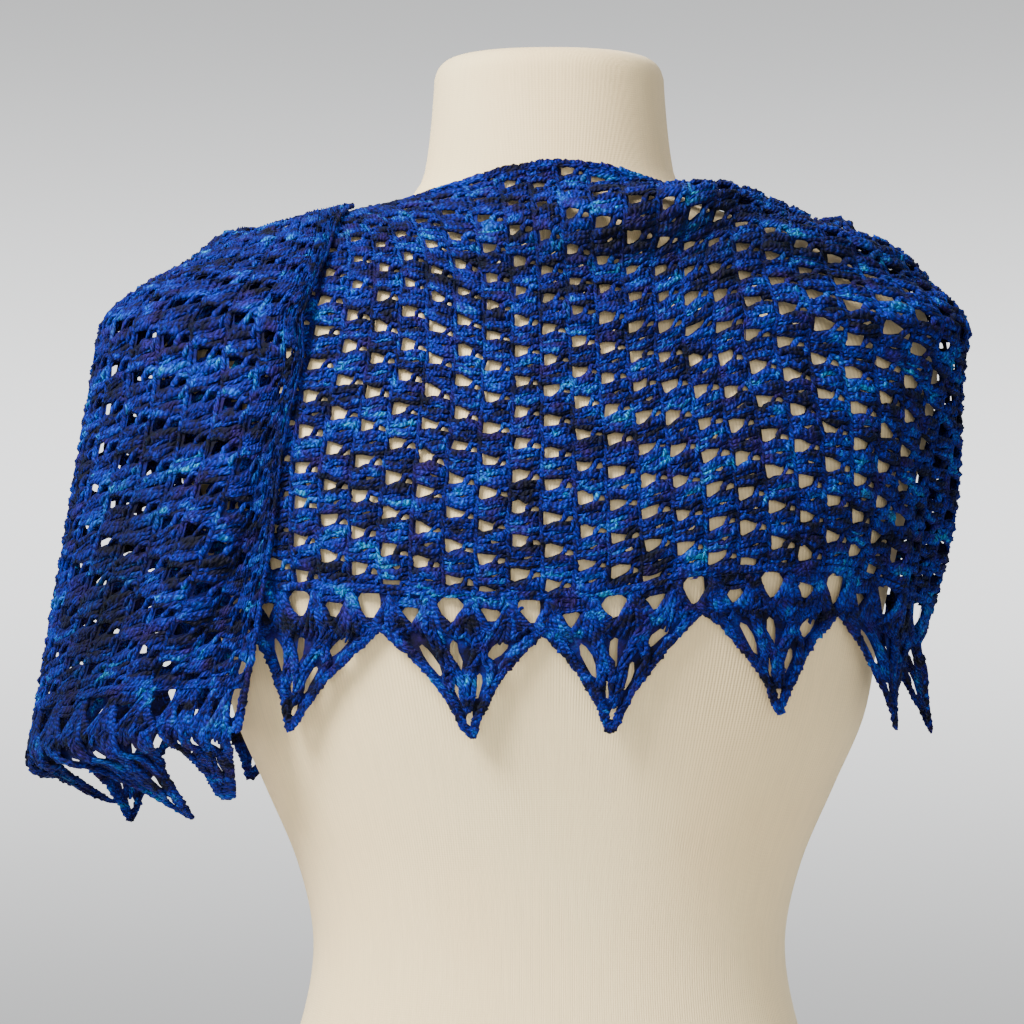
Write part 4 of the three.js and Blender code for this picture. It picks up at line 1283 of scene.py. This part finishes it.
class CAPELET_OT_stage(bpy.types.Operator):
    """Set up the floor, the studio light and the camera"""
    bl_idname = "capelet.stage"
    bl_label = "Stage"

    def execute(self, context):
        scene, sides, level = context.scene, 96, -0.0005
        mesh = bpy.data.meshes.new("studio_floor")
        turns = np.arange(sides) * 2 * math.pi / sides
        rim = [(FLOOR_RADIUS * math.cos(t), FLOOR_RADIUS * math.sin(t), level) for t in turns]
        faces = [(0, k + 1, (k + 1) % sides + 1) for k in range(sides)]
        mesh.from_pydata([(0, 0, level), *rim], [], faces)
        mesh.materials.append(floor_material("pale floor", scene.capelet_colours.floor))
        floor = bpy.data.objects.new("studio_floor", mesh)
        scene.collection.objects.link(floor)
        scene.world = studio_world()
        for name, place, size, power, colour in LIGHTS:
            light = bpy.data.lights.new(name, "AREA")
            light.size, light.energy, light.color = size, power, colour
            lamp = bpy.data.objects.new(name, light)
            lamp.location = place
            lamp.rotation_euler = (Vector(AIM) - Vector(place)).to_track_quat("-Z", "Y").to_euler()
            scene.collection.objects.link(lamp)
        camera = bpy.data.cameras.new("camera")
        camera.sensor_width, camera.lens = 36, LENS
        eye = bpy.data.objects.new("camera", camera)
        eye.location = EYE
        eye.rotation_euler = (math.radians(90), 0, 0)
        scene.collection.objects.link(eye)
        scene.camera = eye
        return {"FINISHED"}


class CAPELET_PT_panel(bpy.types.Panel):
    """The capelet's sizes, colours and pieces"""
    bl_idname = "CAPELET_PT_panel"
    bl_label = "Capelet"
    bl_space_type = "VIEW_3D"
    bl_region_type = "UI"
    bl_category = "Capelet"

    def draw(self, context):
        for settings in (context.scene.capelet_stitches, context.scene.capelet_colours):
            for name in settings.__annotations__:
                self.layout.prop(settings, name)
        for operator in OPERATORS:
            self.layout.operator(operator.bl_idname)


OPERATORS = (CAPELET_OT_dress_form, CAPELET_OT_net, CAPELET_OT_border, CAPELET_OT_edges, CAPELET_OT_filling,
             CAPELET_OT_stage)
CLASSES = (CapeletStitchSettings, CapeletColourSettings, *OPERATORS, CAPELET_PT_panel)


def register():
    for each in CLASSES:
        bpy.utils.register_class(each)
    bpy.types.Scene.capelet_stitches = PointerProperty(type=CapeletStitchSettings)
    bpy.types.Scene.capelet_colours = PointerProperty(type=CapeletColourSettings)


def unregister():
    del bpy.types.Scene.capelet_colours
    del bpy.types.Scene.capelet_stitches
    for each in reversed(CLASSES):
        bpy.utils.unregister_class(each)


def main():
    register()
    bpy.ops.capelet.dress_form()
    bpy.ops.capelet.net()
    bpy.ops.capelet.border()
    bpy.ops.capelet.edges()
    bpy.ops.capelet.filling()
    bpy.ops.capelet.stage()


if __name__ == "__main__":
    main()
